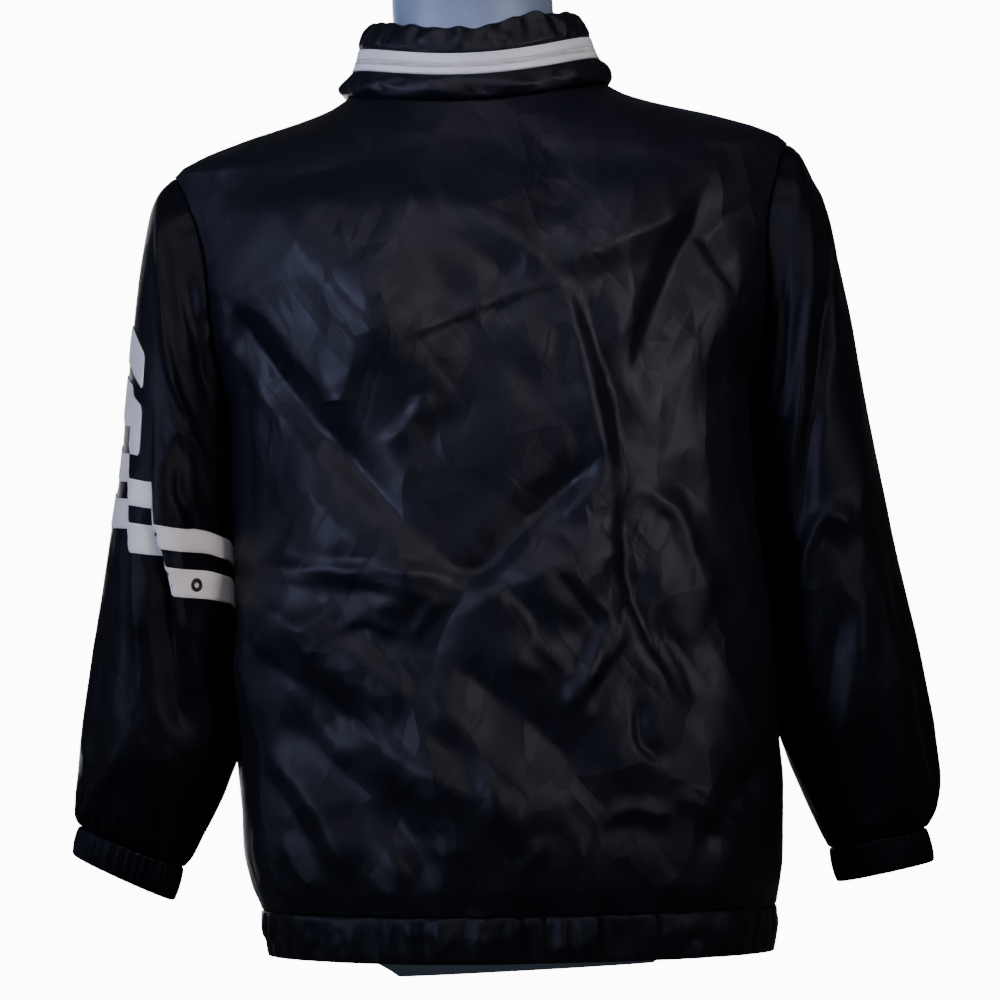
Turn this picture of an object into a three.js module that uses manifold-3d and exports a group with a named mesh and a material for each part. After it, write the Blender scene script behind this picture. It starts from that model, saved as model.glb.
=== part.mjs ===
// Nylon windbreaker worn by a limbless dress form. Millimetres, Z up, the front towards -Y,
// the wearer's left at +X. The form stands on its flat foot at z = 0.
import * as THREE from 'three';
import Module from 'manifold-3d';
import { mergeVertices } from 'three/addons/utils/BufferGeometryUtils.js';

// Driving sizes
const WALL = 1.6;
const SEAM_GAP = 0.3;
const FORM_GAP = 0.6;
const HEM_HEIGHT = 39;
const HEM_SEAM = 53.3;
const NECK_HEIGHT = 748;
const ARMHOLE = { middle: 584, tall: 104, deep: 64 };
const NECK_DROP = { back: 18, front: 60, from: 420 };
const ZIP = { cloth: 9, tape: 8.7, coil: 2.6, tapeWall: 1.2, coilWall: 2.0 };
const COLLAR_BAND = { from: 22.5, to: 40.5, tapeLow: 5.2, coil: 4.4 };
const CUFF_GATHERS = 20;
const HEM_GATHERS = 34;
const EYELET = { outer: 5.8, hole: 2.6, thick: 1.3, sides: 20 };
const PULL = { reach: 25, wide: 7, thick: 1.5, pin: 0.8, eye: 1.25, ring: 2.2 };

// Colours, roughness and metalness
const LOOKS = {
  nylon: { color: 0x12141f, roughness: 0.42, metalness: 0 },
  white: { color: 0xd6d2c6, roughness: 0.7, metalness: 0 },
  coil: { color: 0xe4e2d8, roughness: 0.5, metalness: 0 },
  dark: { color: 0x0c0d12, roughness: 0.5, metalness: 0 },
  metal: { color: 0x3a342c, roughness: 0.45, metalness: 0.9 },
  form: { color: 0xb9c6d8, roughness: 0.35, metalness: 0 },
};

function table(columns, rows) {
  return rows.map((row) => Object.fromEntries(columns.map((name, k) => [name, row[k]])));
}

// Level sections of the body: half width, depth of back and front, corner form and sideways shift
const BODY = table(['z', 'half', 'back', 'front', 'round', 'shift'], [
  [0, 212, 134, 132, 0.88, 3],
  [53, 217, 140, 138, 0.88, 3],
  [75, 223, 148, 145, 0.87, 4],
  [110, 227, 153, 149, 0.87, 5],
  [200, 226, 152, 148, 0.87, 5],
  [300, 224, 150, 146, 0.87, 5],
  [400, 222, 150, 146, 0.87, 5],
  [440, 223, 150, 146, 0.87, 4],
  [480, 225, 150, 146, 0.87, 2],
  [510, 234, 150, 145, 0.87, 1],
  [545, 246, 148, 143, 0.87, 0],
  [584, 252, 145, 140, 0.88, 0],
  [616, 255, 139, 134, 0.89, 0],
  [645, 259, 129, 125, 0.9, 0],
  [668, 262, 117, 115, 0.92, 0],
  [688, 262, 105, 106, 0.94, 0],
  [702, 240, 97, 98, 0.96, 0],
  [710, 218, 92, 94, 0.97, 0],
  [717, 196, 88, 90, 0.98, 0],
  [724, 170, 84, 86, 0.99, 0],
  [731, 146, 80, 82, 1, 0],
  [738, 127, 76, 78, 1, 0],
  [748, 110, 70, 74, 1, 0],
]);

// Rows of the body panels, from the hem seam to the neck seam. Those at the armhole follow its points
const LOW_ROWS = [HEM_SEAM, 64, 84, 112, 144, 176, 208, 240, 272, 304, 336, 368, 400, 430, 456];
const ARM_STEPS = 10;
const HIGH_ROWS = [696, 706, 716, 726, 737, NECK_HEIGHT];

// Largest folds of the back: three points of each line, its width and its height over the cloth
const BACK_FOLDS = table(['x1', 'z1', 'x2', 'z2', 'x3', 'z3', 'width', 'depth'], [
  [189, 640, 128, 558, 56, 470, 26, 8],
  [213, 600, 200, 500, 158, 465, 20, -7],
  [135, 440, 59, 350, -16, 382, 24, -11],
  [-16, 382, -60, 400, -110, 440, 22, -8],
  [-63, 572, -87, 490, -102, 400, 17, -9],
  [-102, 400, -116, 290, -143, 200, 17, -9],
  [-200, 645, -156, 575, -119, 490, 24, -11],
  [0, 640, -59, 574, -125, 590, 24, 6],
  [56, 262, -5, 198, -40, 105, 26, -12],
  [50, 285, -39, 233, -84, 170, 24, 8],
  [185, 325, 120, 300, 30, 322, 20, 7],
  [162, 255, 91, 226, 62, 170, 24, 7],
  [-66, 134, -110, 142, -179, 124, 16, 5],
  [190, 128, 180, 108, 167, 92, 14, 5],
]);

// The same kind of folds on the fronts, which the picture does not show
const FRONT_FOLDS = table(['x1', 'z1', 'x2', 'z2', 'x3', 'z3', 'width', 'depth'], [
  [190, 610, 140, 500, 60, 420, 26, -8],
  [-190, 610, -130, 520, -70, 400, 26, -9],
  [180, 330, 110, 290, 50, 240, 24, 7],
  [-180, 310, -120, 250, -50, 230, 24, 7],
  [150, 210, 90, 150, 60, 100, 22, -7],
  [-160, 200, -120, 140, -80, 100, 22, -8],
]);

// Rings of the sleeves from the armhole to the cuff: outermost point, innermost point, half depth
// and how far the middle leans to the front
const LEFT_RINGS = table(['outX', 'outZ', 'inX', 'inZ', 'deep', 'lean'], [
  [262, 688, 227, 480, 64, 0],
  [274, 678, 230, 467, 70, 0],
  [283, 662, 232.6, 453, 74, 1],
  [290, 636, 233, 437, 76, 2],
  [297, 602, 233, 421, 76, 3],
  [303, 566, 233, 404, 75, 4],
  [309, 528, 233, 387, 74, 5],
  [315, 489, 233, 370, 73, 6],
  [320, 450, 233, 352, 72, 7],
  [328, 410, 233.3, 316, 71, 8],
  [336, 371, 233.6, 284, 70, 9],
  [344, 333, 234, 254, 69, 10],
  [352, 296, 234.6, 226, 67, 11],
  [359, 260, 237, 199, 65, 12],
  [366, 226, 244, 171, 61, 13],
  [371, 194, 255, 147, 55, 14],
  [375, 166, 268, 126, 47, 15],
  [375.5, 152, 278, 111, 38, 16],
  [372.7, 142, 286.5, 102, 28, 16],
]);
const RIGHT_RINGS = table(['outX', 'outZ', 'inX', 'inZ', 'deep', 'lean'], [
  [262, 688, 223, 480, 64, 0],
  [271, 680, 225.8, 469, 70, 0],
  [279, 663, 226, 458, 74, 1],
  [288, 637, 225.5, 446, 76, 2],
  [296, 603, 224.5, 433, 76, 3],
  [302, 568, 223.5, 420, 75, 4],
  [308, 532, 222.6, 405, 74, 5],
  [312.5, 494, 222.2, 388, 73, 6],
  [317, 456, 222.2, 368, 72, 7],
  [322, 418, 222.4, 336, 71, 8],
  [328, 380, 222.8, 302, 70, 9],
  [334, 340, 223.6, 268, 69, 10],
  [341, 300, 224.6, 234, 67, 11],
  [348, 260, 226.4, 202, 65, 12],
  [354, 220, 230, 172, 61, 13],
  [359, 182, 238, 146, 55, 14],
  [361, 146, 248, 121, 47, 15],
  [356, 118, 257, 102, 38, 16],
  [346.5, 100.5, 264, 88, 28, 16],
]);
const LEFT_CUFF = { outX: 380, outZ: 116.5, inX: 296.4, inZ: 73, deep: 27, lean: 17 };
const RIGHT_CUFF = { outX: 352, outZ: 71, inX: 269, inZ: 57.5, deep: 27, lean: 17 };

// Positions along a sleeve where a ring is made; the halves are the edges of what lies on it
const STRIPE_HIGH = [7.68, 8.32];
const STRIPE_LOW = [8.68, 9.32];
const BAR_HIGH = [5.1, 5.8];
const BAR_LOW = [6.2, 7.0];
const LEFT_STEPS = [
  0, 1, 2, 3, 4, ...BAR_HIGH, ...BAR_LOW, ...STRIPE_HIGH, ...STRIPE_LOW,
  10, 11, 12, 13, 14, 15, 16, 17, 18,
];
const RIGHT_STEPS = [0, 1, 2, 3, 4, 5, 6, 7, 8, 9, 10, 11, 12, 13, 14, 15, 16, 17, 18];
const SLEEVE_SIDES = 20;

// Folds of the sleeves: where along it, where round it (in steps of 18 degrees), their reach and height
const SLEEVE_FOLDS = table(['side', 'at', 'round', 'reachAt', 'reachRound', 'depth'], [
  [1, 3.5, 4.6, 1.6, 1.2, 5],
  [1, 6.4, 3.6, 1.2, 1.4, -5],
  [1, 12.5, 4.4, 3.5, 1.3, 5],
  [1, 12.0, 2.2, 3.5, 1.0, -4],
  [1, 9.0, 16.0, 4.0, 1.6, -5],
  [-1, 3.0, 4.6, 1.6, 1.2, 5],
  [-1, 7.5, 3.2, 2.0, 1.2, 5],
  [-1, 10.0, 4.8, 4.0, 1.2, -5],
  [-1, 13.0, 2.4, 3.0, 1.2, 4],
  [-1, 9.0, 16.0, 4.0, 1.6, -5],
]);

// Sections of the collar above the neck seam
const COLLAR = table(['rise', 'half', 'back', 'front'], [
  [0, 110, 70, 74],
  [3, 114.5, 74, 74.5],
  [9, 115.5, 76, 75],
  [16, 111.5, 74, 75],
  [22.5, 106, 71, 74.5],
  [40.5, 99.6, 67.5, 73.5],
  [47, 97.4, 67, 73],
  [55, 93, 65.5, 72.5],
  [61, 87, 64, 72],
  [63.5, 82.5, 63, 71.5],
]);
const COLLAR_SIDES = 40;

// Sections of the dress form below the shoulders and above the neck seam
const FORM_LOW = table(['z', 'half', 'back', 'front'], [
  [0, 108, 14, 96],
  [6, 116, 24, 101],
  [20, 138, 52, 109],
  [40, 166, 80, 117],
  [62, 184, 97, 125],
  [95, 194, 105, 130],
  [150, 195, 104, 132],
  [210, 189, 96, 130],
  [270, 182, 90, 126],
  [330, 178, 92, 124],
  [390, 184, 103, 128],
  [450, 194, 117, 134],
  [510, 205, 127, 134],
  [560, 218, 130, 129],
  [600, 229, 124, 120],
  [640, 241, 115, 111],
  [668, 250, 104, 102],
]);
const FORM_HIGH = table(['rise', 'half', 'back', 'front', 'level'], [
  [5, 97, 66, 69, 0],
  [12, 86, 63.5, 66, 0.15],
  [24, 76, 60.5, 62, 0.4],
  [40, 70.5, 58, 59, 0.75],
  [58, 69, 57, 58, 1],
  [84, 68.5, 57, 58, 1],
  [92, 66, 54.5, 55.5, 1],
  [96, 60, 49, 50, 1],
]);
const FORM_SIDES = 24;

// Monotone curve through one column of a table
function curve(rows, key, column) {
  const n = rows.length;
  const slopes = [];
  for (let i = 0; i < n - 1; i++) {
    slopes.push((rows[i + 1][column] - rows[i][column]) / (rows[i + 1][key] - rows[i][key]));
  }
  const tangents = [slopes[0]];
  for (let i = 1; i < n - 1; i++) {
    const [a, b] = [slopes[i - 1], slopes[i]];
    tangents.push(a * b <= 0 ? 0 : (2 * a * b) / (a + b));
  }
  tangents.push(slopes[n - 2]);
  return (at) => {
    let i = 0;
    while (i < n - 2 && at > rows[i + 1][key]) {
      i += 1;
    }
    const h = rows[i + 1][key] - rows[i][key];
    const t = Math.min(1, Math.max(0, (at - rows[i][key]) / h));
    const p = rows[i][column] * (1 + 2 * t) * (1 - t) ** 2;
    const q = rows[i + 1][column] * t * t * (3 - 2 * t);
    return p + q + h * (tangents[i] * t * (1 - t) ** 2 - tangents[i + 1] * t * t * (1 - t));
  };
}

function sections(rows, key, columns) {
  return Object.fromEntries(columns.map((name) => [name, curve(rows, key, name)]));
}

const body = sections(BODY, 'z', ['half', 'back', 'front', 'round', 'shift']);
const collar = sections(COLLAR, 'rise', ['half', 'back', 'front']);
const smooth = (from, to, at) => {
  const t = Math.min(1, Math.max(0, (at - from) / (to - from)));
  return t * t * (3 - 2 * t);
};
const power = (value, exponent) => Math.sign(value) * Math.abs(value) ** exponent;
const vec = (x, y, z) => new THREE.Vector3(x, y, z);

// The hem rides up on the wearer's left and a little at the middle of the back
function hemLift(angle) {
  return 12.5 + 9.5 * Math.cos(angle) + 4.5 * Math.sin(angle) + 2 * Math.cos(2 * angle);
}

function neckDrop(angle) {
  const s = Math.sin(angle);
  return (s > 0 ? NECK_DROP.back : NECK_DROP.front) * s * s;
}

function bodyHeight(z, angle) {
  const low = 1 - smooth(HEM_SEAM, 300, z);
  const high = Math.max(0, (z - NECK_DROP.from) / (NECK_HEIGHT - NECK_DROP.from)) ** 1.5;
  return z + (hemLift(angle) - 14) * low - neckDrop(angle) * high;
}

function bodyPlain(z, angle) {
  const [c, s, e] = [Math.cos(angle), Math.sin(angle), body.round(z)];
  const depth = s > 0 ? body.back(z) : body.front(z);
  const x = body.shift(z) + body.half(z) * power(c, e);
  return vec(x, depth * power(s, e), bodyHeight(z, angle));
}

// Angle of the armhole's edge at a height, 0 where a side or shoulder seam runs instead
function armholeAngle(z, front) {
  const up = (z - ARMHOLE.middle) / ARMHOLE.tall;
  if (Math.abs(up) >= 0.9999) return 0;
  const reach = ARMHOLE.deep * Math.sqrt(1 - up * up);
  const depth = front ? body.front(z) : body.back(z);
  return Math.asin((reach / depth) ** (1 / body.round(z)));
}

function distanceToFold(x, z, f) {
  const legs = [[f.x1, f.z1, f.x2, f.z2], [f.x2, f.z2, f.x3, f.z3]];
  return Math.min(...legs.map(([ax, az, bx, bz]) => {
    const [dx, dz] = [bx - ax, bz - az];
    const t = Math.min(1, Math.max(0, ((x - ax) * dx + (z - az) * dz) / (dx * dx + dz * dz)));
    return Math.hypot(x - ax - dx * t, z - az - dz * t);
  }));
}

function foldHeight(point, z, angle) {
  const back = Math.sin(angle) > 0;
  const edge = Math.min(Math.abs(Math.sin(angle)), 1) - Math.sin(armholeAngle(z, !back));
  const fade = smooth(0.02, 0.35, edge) * smooth(HEM_SEAM, 92, z) * (1 - smooth(600, 672, z));
  const zip = back ? 1 : smooth(12, 60, Math.abs(point.x));
  const sum = (back ? BACK_FOLDS : FRONT_FOLDS).reduce((total, f) => {
    const d = distanceToFold(point.x, point.z, f) / f.width;
    return total + f.depth * Math.exp(-d * d);
  }, 0);
  return sum * fade * zip;
}

function normalOf(surface, a, b, stepA, stepB) {
  const alongA = surface(a + stepA, b).sub(surface(a - stepA, b));
  const alongB = surface(a, b + stepB).sub(surface(a, b - stepB));
  return alongA.cross(alongB).normalize();
}

function bodyPoint(z, angle) {
  const plain = bodyPlain(z, angle);
  const height = foldHeight(plain, z, angle);
  if (Math.abs(height) < 1e-6) return plain;
  return plain.addScaledVector(normalOf(bodyPlain, z, angle, 0.5, 0.002), -height);
}

// Closed solid between an outer and an inner grid of points
function shell(outer, inner, closed) {
  const [rows, cols] = [outer.length, outer[0].length];
  const points = [...outer.flat(), ...inner.flat()];
  const id = (side, i, j) => side * rows * cols + i * cols + (j % cols);
  const faces = [];
  const quad = (a, b, c, d) => faces.push(a, b, c, a, c, d);
  const last = closed ? cols : cols - 1;
  for (let i = 0; i < rows - 1; i++) {
    for (let j = 0; j < last; j++) {
      quad(id(0, i, j), id(0, i, j + 1), id(0, i + 1, j + 1), id(0, i + 1, j));
      quad(id(1, i, j), id(1, i + 1, j), id(1, i + 1, j + 1), id(1, i, j + 1));
    }
  }
  for (let j = 0; j < last; j++) {
    quad(id(0, 0, j), id(1, 0, j), id(1, 0, j + 1), id(0, 0, j + 1));
    quad(id(0, rows - 1, j), id(0, rows - 1, j + 1), id(1, rows - 1, j + 1), id(1, rows - 1, j));
  }
  if (!closed) {
    for (let i = 0; i < rows - 1; i++) {
      quad(id(0, i, 0), id(0, i + 1, 0), id(1, i + 1, 0), id(1, i, 0));
      quad(id(0, i, last), id(1, i, last), id(1, i + 1, last), id(0, i + 1, last));
    }
  }
  return solid(points, faces);
}

// Closed solid through a stack of rings, with a flat end at the top and the bottom
function loft(rings) {
  const [rows, cols] = [rings.length, rings[0].length];
  const points = rings.flat();
  const faces = [];
  for (let i = 0; i < rows - 1; i++) {
    for (let j = 0; j < cols; j++) {
      const [a, b] = [i * cols + j, i * cols + ((j + 1) % cols)];
      faces.push(a, b, b + cols, a, b + cols, a + cols);
    }
  }
  for (let j = 1; j < cols - 1; j++) {
    const top = (rows - 1) * cols;
    faces.push(0, j + 1, j, top, top + j, top + j + 1);
  }
  return solid(points, faces);
}

function solid(points, faces) {
  let volume = 0;
  for (let k = 0; k < faces.length; k += 3) {
    const [a, b, c] = [points[faces[k]], points[faces[k + 1]], points[faces[k + 2]]];
    volume += a.dot(b.clone().cross(c));
  }
  const index = [...faces];
  if (volume < 0) {
    for (let k = 0; k < index.length; k += 3) {
      [index[k + 1], index[k + 2]] = [index[k + 2], index[k + 1]];
    }
  }
  const geometry = new THREE.BufferGeometry();
  const places = points.flatMap((p) => p.toArray());
  geometry.setAttribute('position', new THREE.Float32BufferAttribute(places, 3));
  geometry.setIndex(index);
  return geometry;
}

// Border points drawn in by the same small distance, so that neighbours part at their seam
function drawIn(grid, amount, closed) {
  const [rows, cols] = [grid.length, grid[0].length];
  return grid.map((row, i) => row.map((p, j) => {
    const moved = p.clone();
    const towards = (q) => moved.addScaledVector(q.clone().sub(p).normalize(), amount);
    if (i === 0) towards(grid[1][j]);
    if (i === rows - 1) towards(grid[rows - 2][j]);
    if (!closed && j === 0) towards(grid[i][1]);
    if (!closed && j === cols - 1) towards(grid[i][cols - 2]);
    return moved;
  }));
}

const offset = (grid, normals, amount) => grid.map((row, i) => row.map(
  (p, j) => p.clone().addScaledVector(normals[i][j], amount),
));

function sheet(surface, rows, anglesOf, steps, closed, outward, raise, wall) {
  const grid = rows.map((a) => anglesOf(a).map((b) => surface(a, b)));
  const normals = rows.map((a) => anglesOf(a).map(
    (b) => normalOf(surface, a, b, steps[0], steps[1]).multiplyScalar(outward),
  ));
  const edged = drawIn(grid, SEAM_GAP / 2, closed);
  return shell(offset(edged, normals, raise), offset(edged, normals, raise - wall), closed);
}

function spread(from, to, count) {
  return Array.from({ length: count + 1 }, (_, k) => from + ((to - from) * k) / count);
}

// Body panels
const armRows = spread(Math.PI, 0, ARM_STEPS).map((a) => ARMHOLE.middle + ARMHOLE.tall * Math.cos(a));
const bodyRows = [...LOW_ROWS, ...armRows, ...HIGH_ROWS];

function zipAngle(half, round, shift, side) {
  const c = (side * ZIP.cloth - shift) / half;
  return 1.5 * Math.PI + Math.asin(power(c, 1 / round));
}

// Columns stay level with those above and below, and only the outer ones follow the armhole
function eased(angle, edge) {
  return angle + edge * Math.max(0, 1 - angle / (0.5 * Math.PI)) ** 2.4;
}

function backAngles(z) {
  const edge = armholeAngle(z, false);
  const half = spread(0, 0.5 * Math.PI, 12).map((a) => eased(a, edge));
  return [...half, ...half.slice(0, 12).reverse().map((a) => Math.PI - a)];
}

function frontAngles(side) {
  return (z) => {
    const edge = armholeAngle(z, true);
    const zip = zipAngle(body.half(z), body.round(z), body.shift(z), side);
    const reach = side > 0 ? 2 * Math.PI - zip : zip - Math.PI;
    const half = spread(0, reach, 10).map((a) => eased(a, edge));
    return side > 0 ? half.reverse().map((a) => 2 * Math.PI - a) : half.map((a) => Math.PI + a);
  };
}

const backPanel = sheet(bodyPoint, bodyRows, backAngles, [0.5, 0.002], false, -1, 0, WALL);
const frontLeft = sheet(bodyPoint, bodyRows, frontAngles(1), [0.5, 0.002], false, -1, 0, WALL);
const frontRight = sheet(bodyPoint, bodyRows, frontAngles(-1), [0.5, 0.002], false, -1, 0, WALL);

// Sleeves
const ringColumns = ['outX', 'outZ', 'inX', 'inZ', 'deep', 'lean'];
const leftRing = sections(LEFT_RINGS.map((r, at) => ({ ...r, at })), 'at', ringColumns);
const rightRing = sections(RIGHT_RINGS.map((r, at) => ({ ...r, at })), 'at', ringColumns);

function armholePoint(side, round) {
  const angle = (round * 2 * Math.PI) / SLEEVE_SIDES;
  const z = ARMHOLE.middle + ARMHOLE.tall * Math.cos(angle);
  const front = Math.sin(angle) < 0;
  const edge = armholeAngle(z, front);
  const turned = front ? -edge : edge;
  return bodyPlain(z, side > 0 ? turned : Math.PI - turned);
}

function ringPoint(side, r, round) {
  const angle = (round * 2 * Math.PI) / SLEEVE_SIDES;
  const [c, s] = [power(Math.cos(angle), 0.95), power(Math.sin(angle), 0.95)];
  const x = (r.outX + r.inX) / 2 + ((r.outX - r.inX) / 2) * c;
  const z = (r.outZ + r.inZ) / 2 + ((r.outZ - r.inZ) / 2) * c;
  return vec(side * x, r.deep * s - r.lean, z);
}

const evaluate = (ring, at) => Object.fromEntries(ringColumns.map((name) => [name, ring[name](at)]));

function sleevePoint(side) {
  const ring = side > 0 ? leftRing : rightRing;
  return (at, round) => {
    const whole = ringPoint(side, evaluate(ring, Math.max(at, 1)), round);
    if (at < 1) {
      const start = armholePoint(side, round);
      const under = 0.5 * (1 - Math.cos((round * 2 * Math.PI) / SLEEVE_SIDES));
      const towards = whole.clone().sub(start).normalize();
      start.addScaledVector(towards, SEAM_GAP).add(vec(side * (0.15 + 0.35 * under), 0, 0));
      return start.lerp(whole, Math.max(at, 0));
    }
    const r = evaluate(ring, at);
    const centre = ringPoint(side, r, 0).add(ringPoint(side, r, 10)).multiplyScalar(0.5);
    const height = SLEEVE_FOLDS.filter((f) => f.side === side).reduce((total, f) => {
      const turn = Math.min(Math.abs(round - f.round), SLEEVE_SIDES - Math.abs(round - f.round));
      return total + f.depth * Math.exp(-(((at - f.at) / f.reachAt) ** 2) - (turn / f.reachRound) ** 2);
    }, 0) * (1 - smooth(15, 18, at)) * smooth(1, 2.5, at);
    return whole.add(whole.clone().sub(centre).normalize().multiplyScalar(height));
  };
}

const sleeveLeft = sleevePoint(1);
const sleeveRight = sleevePoint(-1);
const roundAll = () => spread(0, SLEEVE_SIDES - 1, SLEEVE_SIDES - 1);
const sleeveSteps = [0.02, 0.04];
const sleeveLeftSolid = sheet(sleeveLeft, LEFT_STEPS, roundAll, sleeveSteps, true, 1, 0, WALL);
const sleeveRightSolid = sheet(sleeveRight, RIGHT_STEPS, roundAll, sleeveSteps, true, -1, 0, WALL);

// What lies on the left sleeve repeats its points, moved out
function onSleeve(rows, columns, closed, raise, wall) {
  return sheet(sleeveLeft, rows, () => columns, sleeveSteps, closed, 1, raise + wall, wall);
}
const stripeHigh = onSleeve(STRIPE_HIGH, roundAll(), true, 0.35, 1.0);
const stripeLow = onSleeve(STRIPE_LOW, roundAll(), true, 0.35, 1.0);
const barHigh = onSleeve(BAR_HIGH, [-3, -2, -1, 0, 1, 2, 3], false, 0.35, 1.2);
const barLow = onSleeve(BAR_LOW, [-3, -2, -1, 0, 1, 2, 3], false, 0.35, 1.2);

// Cuffs: a casing gathered by its elastic
function cuffPoint(side, top, low) {
  return (down, turn) => {
    const between = (name) => [name, top[name] + (low[name] - top[name]) * down];
    const r = Object.fromEntries(ringColumns.map(between));
    const point = ringPoint(side, r, (turn * SLEEVE_SIDES) / (2 * Math.PI));
    const middle = vec((side * (r.outX + r.inX)) / 2, -r.lean, (r.outZ + r.inZ) / 2);
    const fade = smooth(0, 0.25, down) * 0.75 + 0.25;
    const out = point.clone().sub(middle).normalize();
    return point.addScaledVector(out, 1.1 * fade * Math.cos(CUFF_GATHERS * turn));
  };
}
const cuffAngles = () => spread(0, 2 * Math.PI * (1 - 1 / (2 * CUFF_GATHERS)), 2 * CUFF_GATHERS - 1);
const leftCuffPoint = cuffPoint(1, LEFT_RINGS[18], LEFT_CUFF);
const rightCuffPoint = cuffPoint(-1, RIGHT_RINGS[18], RIGHT_CUFF);
const cuffRows = [0.012, 0.3, 1];
const cuffLeftSolid = sheet(leftCuffPoint, cuffRows, cuffAngles, [0.005, 0.01], true, 1, 0, WALL);
const cuffRightSolid = sheet(rightCuffPoint, cuffRows, cuffAngles, [0.005, 0.01], true, -1, 0, WALL);

// Hem casing, gathered most over the middle of the back
function hemPoint(up, angle) {
  const [c, s, e] = [Math.cos(angle), Math.sin(angle), 0.88];
  const half = 213 + 4 * smooth(0, 1, up);
  const depth = (s > 0 ? 136 : 134) + 4 * smooth(0, 1, up);
  const z = hemLift(angle) + HEM_HEIGHT * up;
  const point = vec(3 + half * power(c, e), depth * power(s, e), z);
  const middle = Math.exp(-(((angle - 1.62) / 0.42) ** 2));
  const height = (0.5 + 1.6 * middle) * Math.cos(HEM_GATHERS * angle + 0.6 * Math.sin(5 * angle));
  const free = smooth(20, 60, HEM_SEAM * up + 25) * smooth(0.02, 0.2, Math.abs(c));
  const keep = s > 0 ? 1 : free;
  return point.add(vec(c, s, 0).multiplyScalar(height * keep * (1 - 0.8 * smooth(0.8, 1, up))));
}
const hemRows = [0, 0.33, 0.72, 1];
function hemAngles() {
  const from = zipAngle(214, 0.88, 3, 1) - 2 * Math.PI;
  const to = zipAngle(214, 0.88, 3, -1);
  const [left, right] = [0.95, 2.25];
  const middle = spread(left, right, 42).slice(1);
  return [...spread(from, left, 14), ...middle, ...spread(right, to, 14).slice(1)];
}
const hemBand = sheet(hemPoint, hemRows, hemAngles, [0.01, 0.004], false, -1, 0, WALL);

// Collar, parted by the white zip
function collarPoint(rise, angle) {
  const [c, s] = [Math.cos(angle), Math.sin(angle)];
  const depth = s > 0 ? collar.back(rise) : collar.front(rise);
  const lump = smooth(44, 60, rise) * (0.9 * Math.sin(23 * angle) + 0.7 * Math.sin(14 * angle + 1));
  const peak = 6 * smooth(48, 63, rise) * Math.exp(-(((angle - 2.15) / 0.3) ** 2));
  const puff = smooth(1, 8, rise) * (1 - smooth(14, 22, rise)) * 1.2 * Math.sin(11 * angle + 0.5);
  const free = smooth(0.05, 0.4, 1 - Math.max(0, -s));
  const out = (lump + puff) * free;
  const z = NECK_HEIGHT - neckDrop(angle) + rise + (peak + 0.8 * lump) * free;
  return vec(collar.half(rise) * c, depth * s, z).addScaledVector(vec(c, s, 0), out);
}
function collarAngles(rise) {
  const edge = Math.asin(ZIP.cloth / collar.half(rise));
  return spread(-0.5 * Math.PI + edge, 1.5 * Math.PI - edge, COLLAR_SIDES);
}
function collarPart(rows, raise, wall) {
  return sheet(collarPoint, rows, collarAngles, [0.02, 0.004], false, -1, raise, wall);
}
const coilFrom = COLLAR_BAND.from + COLLAR_BAND.tapeLow;
const coilTo = coilFrom + COLLAR_BAND.coil;
const collarLower = collarPart([0.25, 4, 13, COLLAR_BAND.from], 0, WALL);
const tapeLower = collarPart([COLLAR_BAND.from, coilFrom], 0.2, WALL);
const collarCoil = collarPart([coilFrom, coilTo], -0.2, WALL);
const tapeUpper = collarPart([coilTo, COLLAR_BAND.to], 0.2, WALL);
const collarUpper = collarPart([COLLAR_BAND.to, 49, 58, 63.5], 0, WALL);

// Front zip, from the hem to the top of the collar
const DOWN = -0.5 * Math.PI;
const frontLine = [
  ...[0, 0.33, 0.72, 0.98].map((up) => hemPoint(up, DOWN)),
  ...bodyRows.filter((z) => z > HEM_SEAM + 1).map((z) => bodyPlain(z, DOWN)),
  ...[3, 9, 16, 22.5, 31, 40.5, 47, 55, 61, 63].map((rise) => collarPoint(rise, DOWN)),
];
function ribbon(fromX, toX, front, wall) {
  const strip = (lift) => frontLine.map((p) => [fromX, toX].map((x) => vec(x, p.y - lift, p.z)));
  return shell(strip(front), strip(front - wall), false);
}
const zipTapeLeft = ribbon(ZIP.coil + SEAM_GAP, ZIP.tape, -0.2, ZIP.tapeWall);
const zipTapeRight = ribbon(-ZIP.tape, -ZIP.coil - SEAM_GAP, -0.2, ZIP.tapeWall);
const zipCoil = ribbon(-ZIP.coil, ZIP.coil, 0.6, ZIP.coilWall);

// Dress form: shoulders just under the cloth, plain elsewhere
function formRing(z, half, back, front, drop) {
  return spread(0, FORM_SIDES - 1, FORM_SIDES - 1).map((k) => {
    const angle = (k * 2 * Math.PI) / FORM_SIDES;
    const [c, s] = [Math.cos(angle), Math.sin(angle)];
    const e = z < 30 ? 1 : 0.94;
    return vec(half * power(c, e), (s > 0 ? back : front) * power(s, e), z - drop * neckDrop(angle));
  });
}
function shoulderRing(z) {
  return spread(0, FORM_SIDES - 1, FORM_SIDES - 1).map((k) => {
    const angle = (k * 2 * Math.PI) / FORM_SIDES;
    const normal = normalOf(bodyPlain, z, angle, 0.5, 0.002);
    const tip = 1.6 * (1 - smooth(690, 712, z));
    return bodyPlain(z, angle).addScaledVector(normal, WALL + FORM_GAP + tip);
  });
}
const lowDrop = (z) => Math.max(0, (z - NECK_DROP.from) / (NECK_HEIGHT - NECK_DROP.from)) ** 1.5;
const form = loft([
  ...FORM_LOW.map((r) => formRing(r.z, r.half, r.back, r.front, lowDrop(r.z))),
  ...[688, 696, 706, 716, 726, 737, 747].map(shoulderRing),
  ...FORM_HIGH.map((r) => formRing(NECK_HEIGHT + r.rise, r.half, r.back, r.front, 1 - r.level)),
]);

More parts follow.
